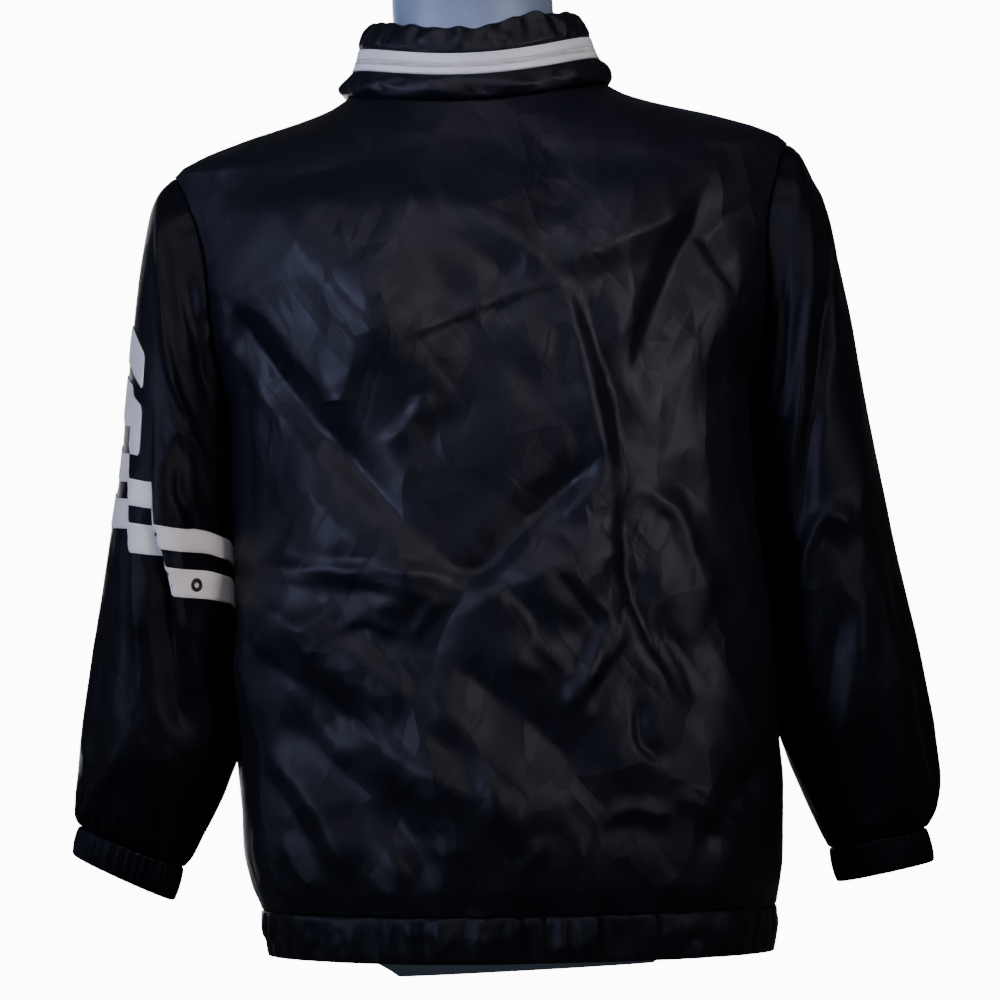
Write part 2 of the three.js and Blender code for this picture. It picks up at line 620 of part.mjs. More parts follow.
// Eyelet on the lower stripe, square to the cloth under it
function eyeletAt(corners, lift) {
  const centre = corners.reduce((sum, p) => sum.add(p), vec(0, 0, 0)).multiplyScalar(0.25);
  const across = corners[2].clone().sub(corners[0]);
  const normal = across.cross(corners[3].clone().sub(corners[1])).normalize();
  if (normal.y < 0) normal.negate();
  const mesh = new THREE.Mesh();
  mesh.position.copy(centre).addScaledVector(normal, lift);
  mesh.quaternion.setFromUnitVectors(vec(0, 1, 0), normal);
  return mesh;
}
const ringProfile = [
  [EYELET.hole, 0],
  [EYELET.outer, 0],
  [EYELET.outer - 0.2, EYELET.thick * 0.6],
  [EYELET.outer - 1.2, EYELET.thick],
  [EYELET.hole + 0.7, EYELET.thick],
  [EYELET.hole, EYELET.thick * 0.6],
  [EYELET.hole, 0],
].map(([x, y]) => new THREE.Vector2(x, y));
const eyeletGeometry = new THREE.LatheGeometry(ringProfile, EYELET.sides);
const EYELET_QUAD = [[8.68, 6], [8.68, 7], [9.32, 7], [9.32, 6]];
const eyeletCorners = EYELET_QUAD.map(([at, round]) => sleeveLeft(at, round));

// Slider and pull tab of the front zip
const wasm = await Module();
wasm.setup();
function toSolid(geometry) {
  const bare = geometry.clone();
  bare.deleteAttribute('normal');
  bare.deleteAttribute('uv');
  const merged = mergeVertices(bare, 1e-4);
  const vertProperties = new Float32Array(merged.attributes.position.array);
  const triVerts = new Uint32Array(merged.index.array);
  return new wasm.Manifold(new wasm.Mesh({ numProp: 3, vertProperties, triVerts }));
}
function fromSolid(manifold) {
  const mesh = manifold.getMesh();
  const geometry = new THREE.BufferGeometry();
  const places = Array.from(mesh.vertProperties);
  geometry.setAttribute('position', new THREE.Float32BufferAttribute(places, 3));
  geometry.setIndex(Array.from(mesh.triVerts));
  return geometry;
}
function block(w, d, h, x, y, z) {
  return toSolid(new THREE.BoxGeometry(w, d, h).translate(x, y, z));
}
function rod(r, length, x, y, z, sides) {
  const along = new THREE.CylinderGeometry(r, r, length, sides).rotateZ(Math.PI / 2);
  return toSolid(along.translate(x, y, z));
}
const slideAt = collarPoint(50, DOWN);
const faceY = slideAt.y - 0.6 - SEAM_GAP - 0.3;
const pinY = faceY - 2.2 - 2.9;
const pinZ = slideAt.z + 1;
const slider = block(9, 2.2, 13, 0, faceY - 1.1, slideAt.z)
  .add(block(1.2, 3.9, 4.4, 2.9, faceY - 2.2 - 1.9, pinZ))
  .add(block(1.2, 3.9, 4.4, -2.9, faceY - 2.2 - 1.9, pinZ))
  .add(rod(PULL.pin, 6, 0, pinY, pinZ, 12));
const pull = rod(PULL.ring, 3.6, 0, pinY, pinZ, 16)
  .add(block(3.4, PULL.thick, 6, 0, pinY, pinZ - 4))
  .add(block(PULL.wide, PULL.thick, PULL.reach - 6, 0, pinY, pinZ - 6 - (PULL.reach - 6) / 2))
  .subtract(rod(PULL.eye, 8, 0, pinY, pinZ, 16))
  .subtract(block(3.2, 6, 4, 0, pinY, pinZ - PULL.reach + 5));

// Scene graph
const jacket = new THREE.Group();
function place(name, geometry, look, holder) {
  const mesh = holder ?? new THREE.Mesh();
  mesh.name = name;
  mesh.geometry = geometry;
  mesh.material = new THREE.MeshStandardMaterial(LOOKS[look]);
  jacket.add(mesh);
  return mesh;
}
place('form', form, 'form');
place('back_panel', backPanel, 'nylon');
place('front_left', frontLeft, 'nylon');
place('front_right', frontRight, 'nylon');
place('sleeve_left', sleeveLeftSolid, 'nylon');
place('sleeve_right', sleeveRightSolid, 'nylon');
place('cuff_left', cuffLeftSolid, 'nylon');
place('cuff_right', cuffRightSolid, 'nylon');
place('hem_band', hemBand, 'nylon');
place('collar_lower', collarLower, 'nylon');
place('collar_tape_lower', tapeLower, 'white');
place('collar_coil', collarCoil, 'coil');
place('collar_tape_upper', tapeUpper, 'white');
place('collar_upper', collarUpper, 'nylon');
place('stripe_high', stripeHigh, 'white');
place('stripe_low', stripeLow, 'white');
place('bar_high', barHigh, 'white');
place('bar_low', barLow, 'white');
place('eyelet', eyeletGeometry, 'metal', eyeletAt(eyeletCorners, 0.35 + 1.0 + 0.5));
place('zip_tape_left', zipTapeLeft, 'dark');
place('zip_tape_right', zipTapeRight, 'dark');
place('zip_coil', zipCoil, 'dark');
place('zip_slider', fromSolid(slider), 'metal');
place('zip_pull', fromSolid(pull), 'metal');

export default jacket;
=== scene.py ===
import math

import bpy
import numpy as np
from mathutils import Matrix, Vector


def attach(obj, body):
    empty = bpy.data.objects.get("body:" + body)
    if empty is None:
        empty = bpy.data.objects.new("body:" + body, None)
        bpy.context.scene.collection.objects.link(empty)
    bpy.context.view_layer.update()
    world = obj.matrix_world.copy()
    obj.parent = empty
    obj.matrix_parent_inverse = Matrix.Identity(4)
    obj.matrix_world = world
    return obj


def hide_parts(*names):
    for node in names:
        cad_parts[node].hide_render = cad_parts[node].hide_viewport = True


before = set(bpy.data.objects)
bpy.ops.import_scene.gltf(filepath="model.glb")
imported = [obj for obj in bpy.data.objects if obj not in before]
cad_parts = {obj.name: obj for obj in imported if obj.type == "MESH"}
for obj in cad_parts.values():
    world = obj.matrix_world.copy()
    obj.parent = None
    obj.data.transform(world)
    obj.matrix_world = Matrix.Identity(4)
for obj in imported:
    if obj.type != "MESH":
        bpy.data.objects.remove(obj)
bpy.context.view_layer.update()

# Sizes in millimetres, as the solids have them
HEM_HEIGHT = 39.0
HEM_SEAM = 53.3
NECK_HEIGHT = 748.0
ARMHOLE_MIDDLE, ARMHOLE_TALL, ARMHOLE_DEEP = 584.0, 104.0, 64.0
NECK_DROP_BACK, NECK_DROP_FRONT, NECK_DROP_FROM = 18.0, 60.0, 420.0
ZIP_CLOTH, ZIP_TAPE, ZIP_COIL = 9.0, 8.7, 2.6
CLOTH = 0.8  # thickness of the thin shells
SEAM = 0.15  # how far a shell is drawn in at a seam, so that neighbours don't touch
SLEEVE_SIDES = 20.0  # steps round a sleeve
ALONG, ROUND = 38.0, 24.0  # millimetres of cloth to one step along a sleeve and round it
SLEEVE_OVAL, HEM_OVAL = 0.95, 0.88  # 1 is an ellipse, less is squarer
HEM_HALF = 214.0
CREST = 1.25  # how much a crease narrows towards its crest
BACK_COLUMNS, FRONT_COLUMNS, HEM_COLUMNS, COLLAR_COLUMNS, CUFF_COLUMNS = 174, 80, 520, 300, 260
ARMHOLE_ROWS, SLEEVE_ROWS = 92, 168


def table(columns, *lines):
    return {name: np.array([line[k] for line in lines], float) for k, name in enumerate(columns.split())}


# The body, level by level: half width, depths, how square (1 is an ellipse) and how far off the middle
BODY = table(
    "z half back front round shift",
    (0, 212, 134, 132, 0.88, 3),
    (53, 217, 140, 138, 0.88, 3),
    (75, 223, 148, 145, 0.87, 4),
    (110, 227, 153, 149, 0.87, 5),
    (200, 226, 152, 148, 0.87, 5),
    (300, 224, 150, 146, 0.87, 5),
    (400, 222, 150, 146, 0.87, 5),
    (440, 223, 150, 146, 0.87, 4),
    (480, 225, 150, 146, 0.87, 2),
    (510, 234, 150, 145, 0.87, 1),
    (545, 246, 148, 143, 0.87, 0),
    (584, 252, 145, 140, 0.88, 0),
    (616, 255, 139, 134, 0.89, 0),
    (645, 259, 129, 125, 0.90, 0),
    (668, 262, 117, 115, 0.92, 0),
    (688, 262, 105, 106, 0.94, 0),
    (702, 240, 97, 98, 0.96, 0),
    (710, 218, 92, 94, 0.97, 0),
    (717, 196, 88, 90, 0.98, 0),
    (724, 170, 84, 86, 0.99, 0),
    (731, 146, 80, 82, 1, 0),
    (738, 127, 76, 78, 1, 0),
    (748, 110, 70, 74, 1, 0),
)

# Rings of the sleeves, one to a step along: outermost and innermost points, depth and forward lean
LEFT_RINGS = table(
    "outX outZ inX inZ deep lean",
    (262, 688, 227, 480, 64, 0),
    (274, 678, 230, 467, 70, 0),
    (283, 662, 232.6, 453, 74, 1),
    (290, 636, 233, 437, 76, 2),
    (297, 602, 233, 421, 76, 3),
    (303, 566, 233, 404, 75, 4),
    (309, 528, 233, 387, 74, 5),
    (315, 489, 233, 370, 73, 6),
    (320, 450, 233, 352, 72, 7),
    (328, 410, 233.3, 316, 71, 8),
    (336, 371, 233.6, 284, 70, 9),
    (344, 333, 234, 254, 69, 10),
    (352, 296, 234.6, 226, 67, 11),
    (359, 260, 237, 199, 65, 12),
    (366, 226, 244, 171, 61, 13),
    (371, 194, 255, 147, 55, 14),
    (375, 166, 268, 126, 47, 15),
    (375.5, 152, 278, 111, 38, 16),
    (372.7, 142, 286.5, 102, 28, 16),
)
RIGHT_RINGS = table(
    "outX outZ inX inZ deep lean",
    (262, 688, 223, 480, 64, 0),
    (271, 680, 225.8, 469, 70, 0),
    (279, 663, 226, 458, 74, 1),
    (288, 637, 225.5, 446, 76, 2),
    (296, 603, 224.5, 433, 76, 3),
    (302, 568, 223.5, 420, 75, 4),
    (308, 532, 222.6, 405, 74, 5),
    (312.5, 494, 222.2, 388, 73, 6),
    (317, 456, 222.2, 368, 72, 7),
    (322, 418, 222.4, 336, 71, 8),
    (328, 380, 222.8, 302, 70, 9),
    (334, 340, 223.6, 268, 69, 10),
    (341, 300, 224.6, 234, 67, 11),
    (348, 260, 226.4, 202, 65, 12),
    (354, 220, 230, 172, 61, 13),
    (359, 182, 238, 146, 55, 14),
    (361, 146, 248, 121, 47, 15),
    (356, 118, 257, 102, 38, 16),
    (346.5, 100.5, 264, 88, 28, 16),
)
RING_COLUMNS = ("outX", "outZ", "inX", "inZ", "deep", "lean")
LEFT_CUFF = dict(outX=380, outZ=116.5, inX=296.4, inZ=73, deep=27, lean=17)
RIGHT_CUFF = dict(outX=352, outZ=71, inX=269, inZ=57.5, deep=27, lean=17)

# The collar and its band of tapes, by how far above the neck seam
COLLAR = table(
    "rise half back front",
    (0, 110, 70, 74),
    (3, 114.5, 74, 74.5),
    (9, 115.5, 76, 75),
    (16, 111.5, 74, 75),
    (22.5, 106, 71, 74.5),
    (40.5, 99.6, 67.5, 73.5),
    (47, 97.4, 67, 73),
    (55, 93, 65.5, 72.5),
    (61, 87, 64, 72),
    (63.5, 82.5, 63, 71.5),
)
BAND_FROM, BAND_TO, BAND_TAPE_LOW, BAND_COIL = 22.5, 40.5, 5.2, 4.4

# Creases of the back, each a line through four points from one end to the other.
# wideA is the slope on its left as the line runs, wideB the one on its right, height its rise (a
# trough where it is below nought) and blunt the roundness of its crest
CREASE = "x1 z1 x2 z2 x3 z3 x4 z4 wideA wideB height blunt"
BACK_CREASES = table(
    CREASE,
    (212, 690, 164, 629, 129, 575, 52, 482, 75, 110, 12, 1.5),
    (224, 585, 189, 519, 140, 455, 62, 358, 18, 26, -11, 1),
    (52, 482, 62, 466, 76, 450, 95, 440, 9, 18, 4, 0.5),
    (186, 455, 138, 391, 90, 340, 40, 308, 44, 34, 9, 1.5),
    (60, 352, 23, 334, -10, 362, -90, 428, 15, 24, -10, 1),
    (-66, 580, -83, 524, -97, 460, -103, 394, 10, 21, -8, 1),
    (-102, 410, -98, 354, -104, 304, -146, 205, 9, 22, -8, 1),
    (-52, 585, -70, 510, -84, 440, -88, 380, 19, 10, 5, 1),
    (-122, 311, -130, 275, -139, 253, -152, 204, 7, 18, -5, 0.5),
    (29, 640, -12, 607, -40, 585, -56, 560, 26, 60, 8, 1),
    (-50, 572, -93, 590, -130, 604, -182, 630, 22, 60, 8, 1),
    (76, 521, 40, 535, -10, 553, -62, 568, 6, 18, 3.5, 0.5),
    (94, 556, 86, 560, 80, 563, 70, 568, 5, 10, 2.5, 0.5),
    (-229, 668, -182, 619, -148, 560, -106, 471, 22, 50, -11, 1.5),
    (-225, 610, -200, 570, -165, 520, -150, 450, 40, 30, 6, 2.5),
    (-178, 631, -186, 600, -196, 572, -212, 545, 10, 19, -5, 1.5),
    (218, 354, 150, 343, 84, 337, 26, 327, 14, 10, 4, 0.5),
    (145, 344, 110, 333, 80, 322, 50, 309, 11, 10, 4, 0.5),
    (57, 282, 29, 303, -30, 330, -128, 349, 50, 30, 7, 1),
    (70, 252, 37, 195, 0, 152, -16, 105, 70, 46, 8, 1.5),
    (56, 270, 17, 238, -26, 200, -64, 150, 46, 34, -8, 1),
    (-18, 278, -41, 255, -52, 226, -62, 205, 10, 11, 4, 0.5),
    (-52, 226, -62, 245, -75, 273, -84, 292, 9, 13, 5, 0.5),
    (-38, 211, -64, 242, -82, 264, -91, 290, 9, 14, 5, 0.5),
    (-100, 226, -102, 190, -110, 180, -124, 168, 6, 13, -5, 0.5),
    (-66, 120, -87, 136, -115, 130, -128, 134, 15, 11, 5, 0.5),
    (-122, 134, -141, 140, -165, 124, -192, 110, 15, 11, 5, 0.5),
    (116, 200, 76, 176, 38, 150, -4, 113, 40, 30, 7, 1.5),
    (191, 132, 184, 108, 176, 94, 162, 77, 10, 14, 5, 1),
    (218, 334, 145, 285, 90, 241, 72, 215, 40, 26, 7, 1),
    (207, 284, 156, 237, 140, 210, 130, 192, 34, 30, -6, 1.5),
    (180, 288, 150, 300, 127, 309, 68, 310, 14, 13, 4, 1),
    (147, 286, 130, 294, 111, 300, 79, 281, 6, 13, 4, 0.5),
    (79, 281, 70, 290, 62, 302, 52, 315, 6, 11, 3.5, 0.5),
    (172, 282, 147, 237, 130, 218, 113, 200, 19, 24, -5, 2),
    (-165, 452, -169, 390, -168, 330, -148, 266, 15, 22, 5, 2.5),
    (-206, 552, -220, 453, -220, 370, -216, 298, 12, 19, -5, 2.5),
    (214, 575, 209, 500, 208, 430, 208, 360, 12, 13, -4, 2),
    (-112, 404, -130, 384, -146, 367, -160, 300, 12, 18, 5, 1),
    (30, 184, 14, 150, 4, 125, -10, 96, 15, 19, 4, 1.5),
    (-22, 118, -12, 104, -4, 95, 4, 82, 9, 13, 4, 1),
    (103, 180, 98, 150, 92, 125, 64, 86, 19, 21, -5, 2),
    (211, 240, 170, 205, 130, 160, 92, 108, 40, 40, -6, 2.5),
    (206, 205, 170, 160, 145, 110, 138, 80, 16, 21, 6, 2),
    (-40, 340, -62, 320, -84, 290, -96, 262, 11, 18, 5, 1),
    (20, 330, 0, 322, -20, 300, -34, 272, 9, 16, -4, 1),
    (-206, 172, -180, 140, -160, 112, -142, 92, 16, 21, -5, 1.5),
    (-60, 690, -105, 679, -138, 672, -178, 656, 16, 10, -3.5, 1.5),
    (60, 692, 110, 680, 150, 670, 196, 652, 10, 21, -3, 2),
)

# Creases of the fronts, of the same kind, where the picture does not reach
FRONT_CREASES = table(
    CREASE,
    (206, 640, 160, 560, 110, 480, 50, 420, 60, 50, -9, 4),
    (-206, 640, -150, 560, -110, 470, -60, 400, 50, 60, -9, 4),
    (200, 560, 150, 480, 110, 440, 60, 380, 40, 50, 7, 4),
    (-200, 570, -160, 500, -120, 420, -66, 350, 40, 50, 7, 4),
    (190, 360, 130, 330, 80, 290, 34, 250, 30, 40, 7, 2),
    (-196, 350, -140, 330, -90, 300, -36, 270, 36, 30, 7, 2),
    (200, 300, 140, 260, 90, 200, 60, 120, 46, 40, -9, 5),
    (-190, 300, -130, 240, -100, 180, -70, 110, 40, 46, -9, 5),
    (180, 190, 130, 150, 100, 110, 80, 80, 26, 30, 6, 3),
    (-170, 200, -120, 150, -100, 110, -84, 84, 26, 30, 6, 3),
    (150, 420, 100, 400, 60, 360, 30, 330, 18, 26, -5, 2),
    (-140, 440, -90, 400, -70, 380, -28, 340, 18, 26, -5, 2),
    (110, 620, 90, 560, 70, 520, 40, 480, 26, 22, 4, 4),
    (-110, 620, -86, 570, -60, 520, -40, 490, 26, 22, 4, 4),
    (190, 120, 150, 128, 110, 116, 60, 124, 14, 22, 5, 2),
    (-186, 124, -140, 116, -100, 128, -50, 118, 14, 22, 5, 2),
)

# Creases of the sleeves: how far along (armhole 0, cuff 18) and how far round (outside 0, back 5,
# body side 10, front 15)
LEFT_CREASES = table(
    CREASE,
    (1.2, 1.9, 2.6, 3.5, 4.2, 5.0, 3.9, 7.0, 22, 16, 6, 2),
    (0.7, 3.7, 0.8, 5.0, 1.1, 6.2, 2.1, 7.2, 26, 26, -6, 4),
    (6.1, 4.7, 4.9, 5.8, 4.4, 6.8, 4.1, 8.0, 14, 18, 5, 1),
    (6.3, 5.0, 6.9, 5.8, 7.3, 6.3, 7.9, 6.5, 16, 12, -5, 1),
    (5.0, 6.6, 5.8, 6.9, 6.4, 7.2, 7.0, 7.6, 12, 14, -4, 1),
    (9.8, 3.4, 11.0, 4.0, 12.4, 4.4, 13.3, 4.5, 28, 16, 5, 1),
    (13.0, 4.6, 14.0, 3.9, 15.0, 3.5, 15.8, 3.1, 26, 16, 5, 1),
    (10.3, 5.0, 11.1, 5.5, 12.3, 5.9, 13.2, 6.1, 26, 20, -6, 2),
    (13.9, 5.4, 14.6, 5.7, 15.2, 6.0, 16.8, 6.9, 14, 20, -6, 1),
    (10.4, 6.0, 11.3, 6.8, 12.2, 7.7, 13.4, 8.2, 20, 24, 4, 4),
    (14.8, 3.2, 15.5, 2.9, 16.3, 2.5, 17.2, 2.1, 20, 16, 4, 2),
    (9.8, 1.4, 11.5, 1.9, 13.5, 2.2, 15.5, 1.6, 24, 24, -4, 5),
    (2.0, 14.0, 5.0, 13.6, 8.0, 14.4, 12.0, 14.0, 24, 26, -6, 4),
    (7.0, 17.0, 10.0, 16.4, 13.0, 17.0, 16.0, 16.4, 22, 24, 6, 4),
    (1.4, 17.4, 3.0, 16.4, 4.6, 15.2, 5.4, 13.2, 20, 20, 6, 2),
    (10.0, 12.4, 12.0, 12.0, 14.0, 12.6, 16.0, 12.0, 16, 20, -5, 3),
)
RIGHT_CREASES = table(
    CREASE,
    (10.4, 7.1, 9.5, 6.0, 9.3, 5.0, 10.3, 3.6, 16, 16, 7, 1),
    (3.4, 1.2, 4.2, 2.6, 5.0, 4.0, 6.6, 5.2, 14, 22, -6, 2),
    (5.8, 4.8, 7.0, 5.5, 8.0, 6.0, 9.4, 6.7, 14, 22, -7, 2),
    (2.0, 2.2, 4.2, 4.8, 6.2, 6.1, 8.2, 7.0, 20, 14, 5, 3),
    (2.2, 1.0, 3.0, 0.9, 3.8, 1.2, 4.8, 2.4, 16, 16, 4, 2),
    (11.0, 4.0, 12.0, 4.4, 13.2, 5.1, 14.8, 6.1, 22, 22, 5, 4),
    (11.0, 5.0, 12.2, 5.6, 13.2, 6.2, 14.4, 7.0, 18, 22, -4, 3),
    (14.3, 5.7, 15.1, 5.7, 15.9, 5.7, 17.3, 5.8, 12, 16, -5, 1),
    (12.8, 3.9, 13.9, 4.0, 15.2, 3.7, 16.8, 3.4, 18, 20, 4, 3),
    (7.2, 7.2, 9.2, 7.4, 11.2, 8.0, 13.4, 7.8, 20, 20, -4, 4),
    (10.6, 1.6, 12.5, 2.0, 14.5, 1.8, 16.6, 1.5, 20, 22, -4, 4),
    (0.9, 5.2, 1.8, 5.8, 2.8, 6.6, 4.2, 7.6, 18, 18, -5, 3),
    (2.0, 14.4, 5.0, 14.0, 8.0, 14.6, 12.0, 14.2, 24, 26, -6, 4),
    (7.0, 16.8, 10.0, 16.4, 13.0, 17.2, 16.0, 16.6, 22, 24, 6, 4),
    (1.4, 17.2, 3.0, 16.2, 4.8, 15.0, 5.6, 13.0, 20, 20, 6, 2),
    (10.0, 12.2, 12.0, 12.6, 14.0, 12.0, 16.0, 12.4, 16, 20, -5, 3),
)

# Gathers of the hem at the middle of the back: where, how wide, how proud, how high they run
HEM_GATHERS = table(
    "x wide proud reach",
    (150, 9, 1.0, 70),
    (139, 7, 1.5, 88),
    (124, 8, -1.0, 75),
    (111, 7, 1.5, 92),
    (92, 6, 1.8, 84),
    (80, 6, -1.4, 78),
    (66, 6, 2.0, 104),
    (50, 6, -1.6, 82),
    (35, 6, 2.3, 100),
    (20, 5, -2.0, 90),
    (6, 6, 2.6, 116),
    (-3, 4, -2.2, 92),
    (-12, 5, 2.4, 108),
    (-21, 4, -2.2, 88),
    (-31, 5, 2.6, 112),
    (-38, 4, -1.8, 84),
    (-45, 5, 2.2, 96),
    (-57, 5, 2.3, 104),
    (-68, 6, -1.6, 80),
    (-80, 6, 1.9, 90),
    (-100, 8, 1.0, 74),
    (-126, 9, 0.9, 70),
    (-152, 10, 0.7, 66),
)

# Flat planes of the crumpled cloth: where, which way their edge runs in degrees, how far they slope,
# how far along their edge they reach, and how high they lift
BACK_PLANES = table(
    "x z turn run reach lift",
    (170, 470, 52, 70, 190, 5.2),
    (90, 610, 28, 60, 150, 3.8),
    (-60, 640, -24, 60, 170, 4.5),
    (-170, 540, -58, 60, 170, 4.5),
    (30, 420, 38, 80, 200, 4.5),
    (-150, 330, 78, 50, 150, 3.8),
    (110, 250, -40, 60, 160, 5.2),
    (-20, 180, 35, 70, 190, 4.5),
    (-120, 200, 62, 50, 150, 3.8),
    (170, 160, 20, 60, 140, 3.8),
    (10, 520, -64, 50, 150, 3),
    (-200, 250, 84, 40, 170, 3.8),
    (205, 380, 96, 36, 200, 3.8),
)
FRONT_PLANES = table(
    "x z turn run reach lift",
    (150, 480, 50, 60, 170, 6),
    (-150, 470, -48, 60, 170, 6),
    (110, 300, 30, 70, 160, 6),
    (-120, 290, -34, 70, 160, 6),
    (130, 160, -40, 60, 150, 5),
    (-110, 170, 44, 60, 150, 5),
    (80, 590, -20, 50, 130, 4),
    (-90, 580, 24, 50, 130, 4),
)


def monotone(rows, key, column):
    """A smooth curve through one column of a table that never overshoots its rows."""
    x, y = rows[key], rows[column]
    slope = np.diff(y) / np.diff(x)
    both = slope[:-1] * slope[1:]
    inner = np.where(both > 0, 2 * both / np.where(both > 0, slope[:-1] + slope[1:], 1), 0)
    tangent = np.concatenate([slope[:1], inner, slope[-1:]])

    def at(value):
        value = np.clip(np.asarray(value, float), x[0], x[-1])
        i = np.clip(np.searchsorted(x, value, side="right") - 1, 0, len(x) - 2)
        h = x[i + 1] - x[i]
        t = (value - x[i]) / h
        ends = y[i] * (1 + 2 * t) * (1 - t) ** 2 + y[i + 1] * t * t * (3 - 2 * t)
        return ends + h * (tangent[i] * t * (1 - t) ** 2 - tangent[i + 1] * t * t * (1 - t))

    return at


body = {name: monotone(BODY, "z", name) for name in ("half", "back", "front", "round", "shift")}
collar = {name: monotone(COLLAR, "rise", name) for name in ("half", "back", "front")}
for rings in (LEFT_RINGS, RIGHT_RINGS):
    rings["at"] = np.arange(len(rings["outX"]), dtype=float)
left_ring = {name: monotone(LEFT_RINGS, "at", name) for name in RING_COLUMNS}
right_ring = {name: monotone(RIGHT_RINGS, "at", name) for name in RING_COLUMNS}


def smooth(low, high, at):
    t = np.clip((at - low) / (high - low), 0, 1)
    return t * t * (3 - 2 * t)


def power(value, exponent):
    return np.sign(value) * np.abs(value) ** exponent


def points(x, y, z):
    return np.stack(np.broadcast_arrays(x, y, z), axis=-1).astype(float)


# The body's surface, by level and by angle round it (0 at the wearer's left, a quarter turn at the back)
def hem_lift(angle):
    return 12.5 + 9.5 * np.cos(angle) + 4.5 * np.sin(angle) + 2 * np.cos(2 * angle)


def neck_drop(angle):
    s = np.sin(angle)
    return np.where(s > 0, NECK_DROP_BACK, NECK_DROP_FRONT) * s * s


def rise_share(z):
    return np.clip((z - NECK_DROP_FROM) / (NECK_HEIGHT - NECK_DROP_FROM), 0, 1) ** 1.5


def body_plain(z, angle):
    c, s, e = np.cos(angle), np.sin(angle), body["round"](z)
    depth = np.where(s > 0, body["back"](z), body["front"](z))
    low = 1 - smooth(HEM_SEAM, 300, z)
    height = z + (hem_lift(angle) - 14) * low - neck_drop(angle) * rise_share(z)
    return points(body["shift"](z) + body["half"](z) * power(c, e), depth * power(s, e), height)


def armhole_angle(z, front):
    up = np.clip((z - ARMHOLE_MIDDLE) / ARMHOLE_TALL, -1, 1)
    reach = ARMHOLE_DEEP * np.sqrt(1 - up * up)
    depth = body["front"](z) if front else body["back"](z)
    return np.arcsin(np.clip(reach / depth, 0, 1) ** (1 / body["round"](z)))


# Folds and crumples, as heights over a flat sheet
def rounded_line(rows, k):
    """One crease's line, drawn smoothly through its points."""
    given = np.array([[rows[f"x{n}"][k], rows[f"z{n}"][k]] for n in (1, 2, 3, 4)])
    ends = np.vstack([2 * given[0] - given[1], given, 2 * given[-1] - given[-2]])
    steps = np.linspace(0, 1, 7)[:, None]
    parts = []
    for n in range(3):
        p, q, r, s = ends[n:n + 4]
        curve = 0.5 * (2 * q + (r - p) * steps + (2 * p - 5 * q + 4 * r - s) * steps ** 2
                       + (3 * q - p - 3 * r + s) * steps ** 3)
        parts.append(curve if n == 2 else curve[:-1])
    return np.vstack(parts)


def creases(u, v, rows):
    """Sum of all the creases of a table at the places u, v."""
    total = np.zeros_like(u, dtype=float)
    flat = np.stack([u.ravel(), v.ravel()], axis=1)
    for k in range(len(rows["height"])):
        line = rounded_line(rows, k)
        reach = max(rows["wideA"][k], rows["wideB"][k])
        low, high = line.min(0) - reach, line.max(0) + reach
        near = np.nonzero(np.all((flat > low) & (flat < high), axis=1))[0]
        if not len(near):
            continue
        place = flat[near]
        a, step = line[:-1], np.diff(line, axis=0)
        length = np.hypot(step[:, 0], step[:, 1])
        walked = np.concatenate([[0], np.cumsum(length)])
        off = place[:, None, :] - a[None]
        t = np.clip((off * step).sum(2) / length ** 2, 0, 1)
        gap = off - t[..., None] * step
        far = np.hypot(gap[..., 0], gap[..., 1])
        best = far.argmin(1)
        pick = np.arange(len(near))
        side = step[best, 0] * off[pick, best, 1] - step[best, 1] * off[pick, best, 0]
        wide = np.where(side > 0, rows["wideA"][k], rows["wideB"][k])
        blunt = rows["blunt"][k]
        distance = np.sqrt(far[pick, best] ** 2 + blunt ** 2) - blunt
        share = (walked[best] + t[pick, best] * length[best]) / walked[-1]
        fade = smooth(-0.02, 0.28, share) * (1 - smooth(0.72, 1.02, share))
        profile = np.clip(1 - distance / wide, 0, 1) ** CREST
        total.ravel()[near] += rows["height"][k] * profile * fade
    return total


def wander(u, v, size, seed):
    """Smooth uneven heights from -1 to 1, one hill to each cell."""
    grid = np.random.default_rng(seed).random((64, 64))
    gu, gv = u / size + 31.7, v / size + 17.3
    iu, iv = np.floor(gu).astype(int), np.floor(gv).astype(int)
    fu, fv = gu - iu, gv - iv
    fu, fv = fu * fu * (3 - 2 * fu), fv * fv * (3 - 2 * fv)
    pick = lambda a, b: grid[(iu + a) % 64, (iv + b) % 64]
    low = pick(0, 0) * (1 - fu) + pick(1, 0) * fu
    high = pick(0, 1) * (1 - fu) + pick(1, 1) * fu
    return 2 * (low * (1 - fv) + high * fv) - 1


def strewn(seed, spots, lean, spread, length, height):
    """Small uneven creases strewn round the spots (x, z, reach, count), mostly along the lean."""
    draw = np.random.default_rng(seed)
    lines = []
    for x, z, reach, count in spots:
        for _ in range(count):
            cx, cz = x + draw.normal() * reach * 0.5, z + draw.normal() * reach * 0.5
            turn = draw.choice(lean) + draw.normal() * spread
            half, bend = length * draw.uniform(0.35, 1.2) / 2, draw.normal() * 0.22
            line = []
            for t in (-1, -0.33, 0.33, 1):
                along, off = half * t, half * bend * (1 - t * t)
                line += [cx + along * math.cos(turn) - off * math.sin(turn),
                         cz + along * math.sin(turn) + off * math.cos(turn)]
            size = draw.uniform(0.3, 1.0)
            sign = draw.choice([-1, 1, 1])
            line += [length * draw.uniform(0.12, 0.34), length * draw.uniform(0.12, 0.42)]
            lines.append((*line, sign * size * height, draw.uniform(0.2, 0.9)))
    return table(CREASE, *lines)


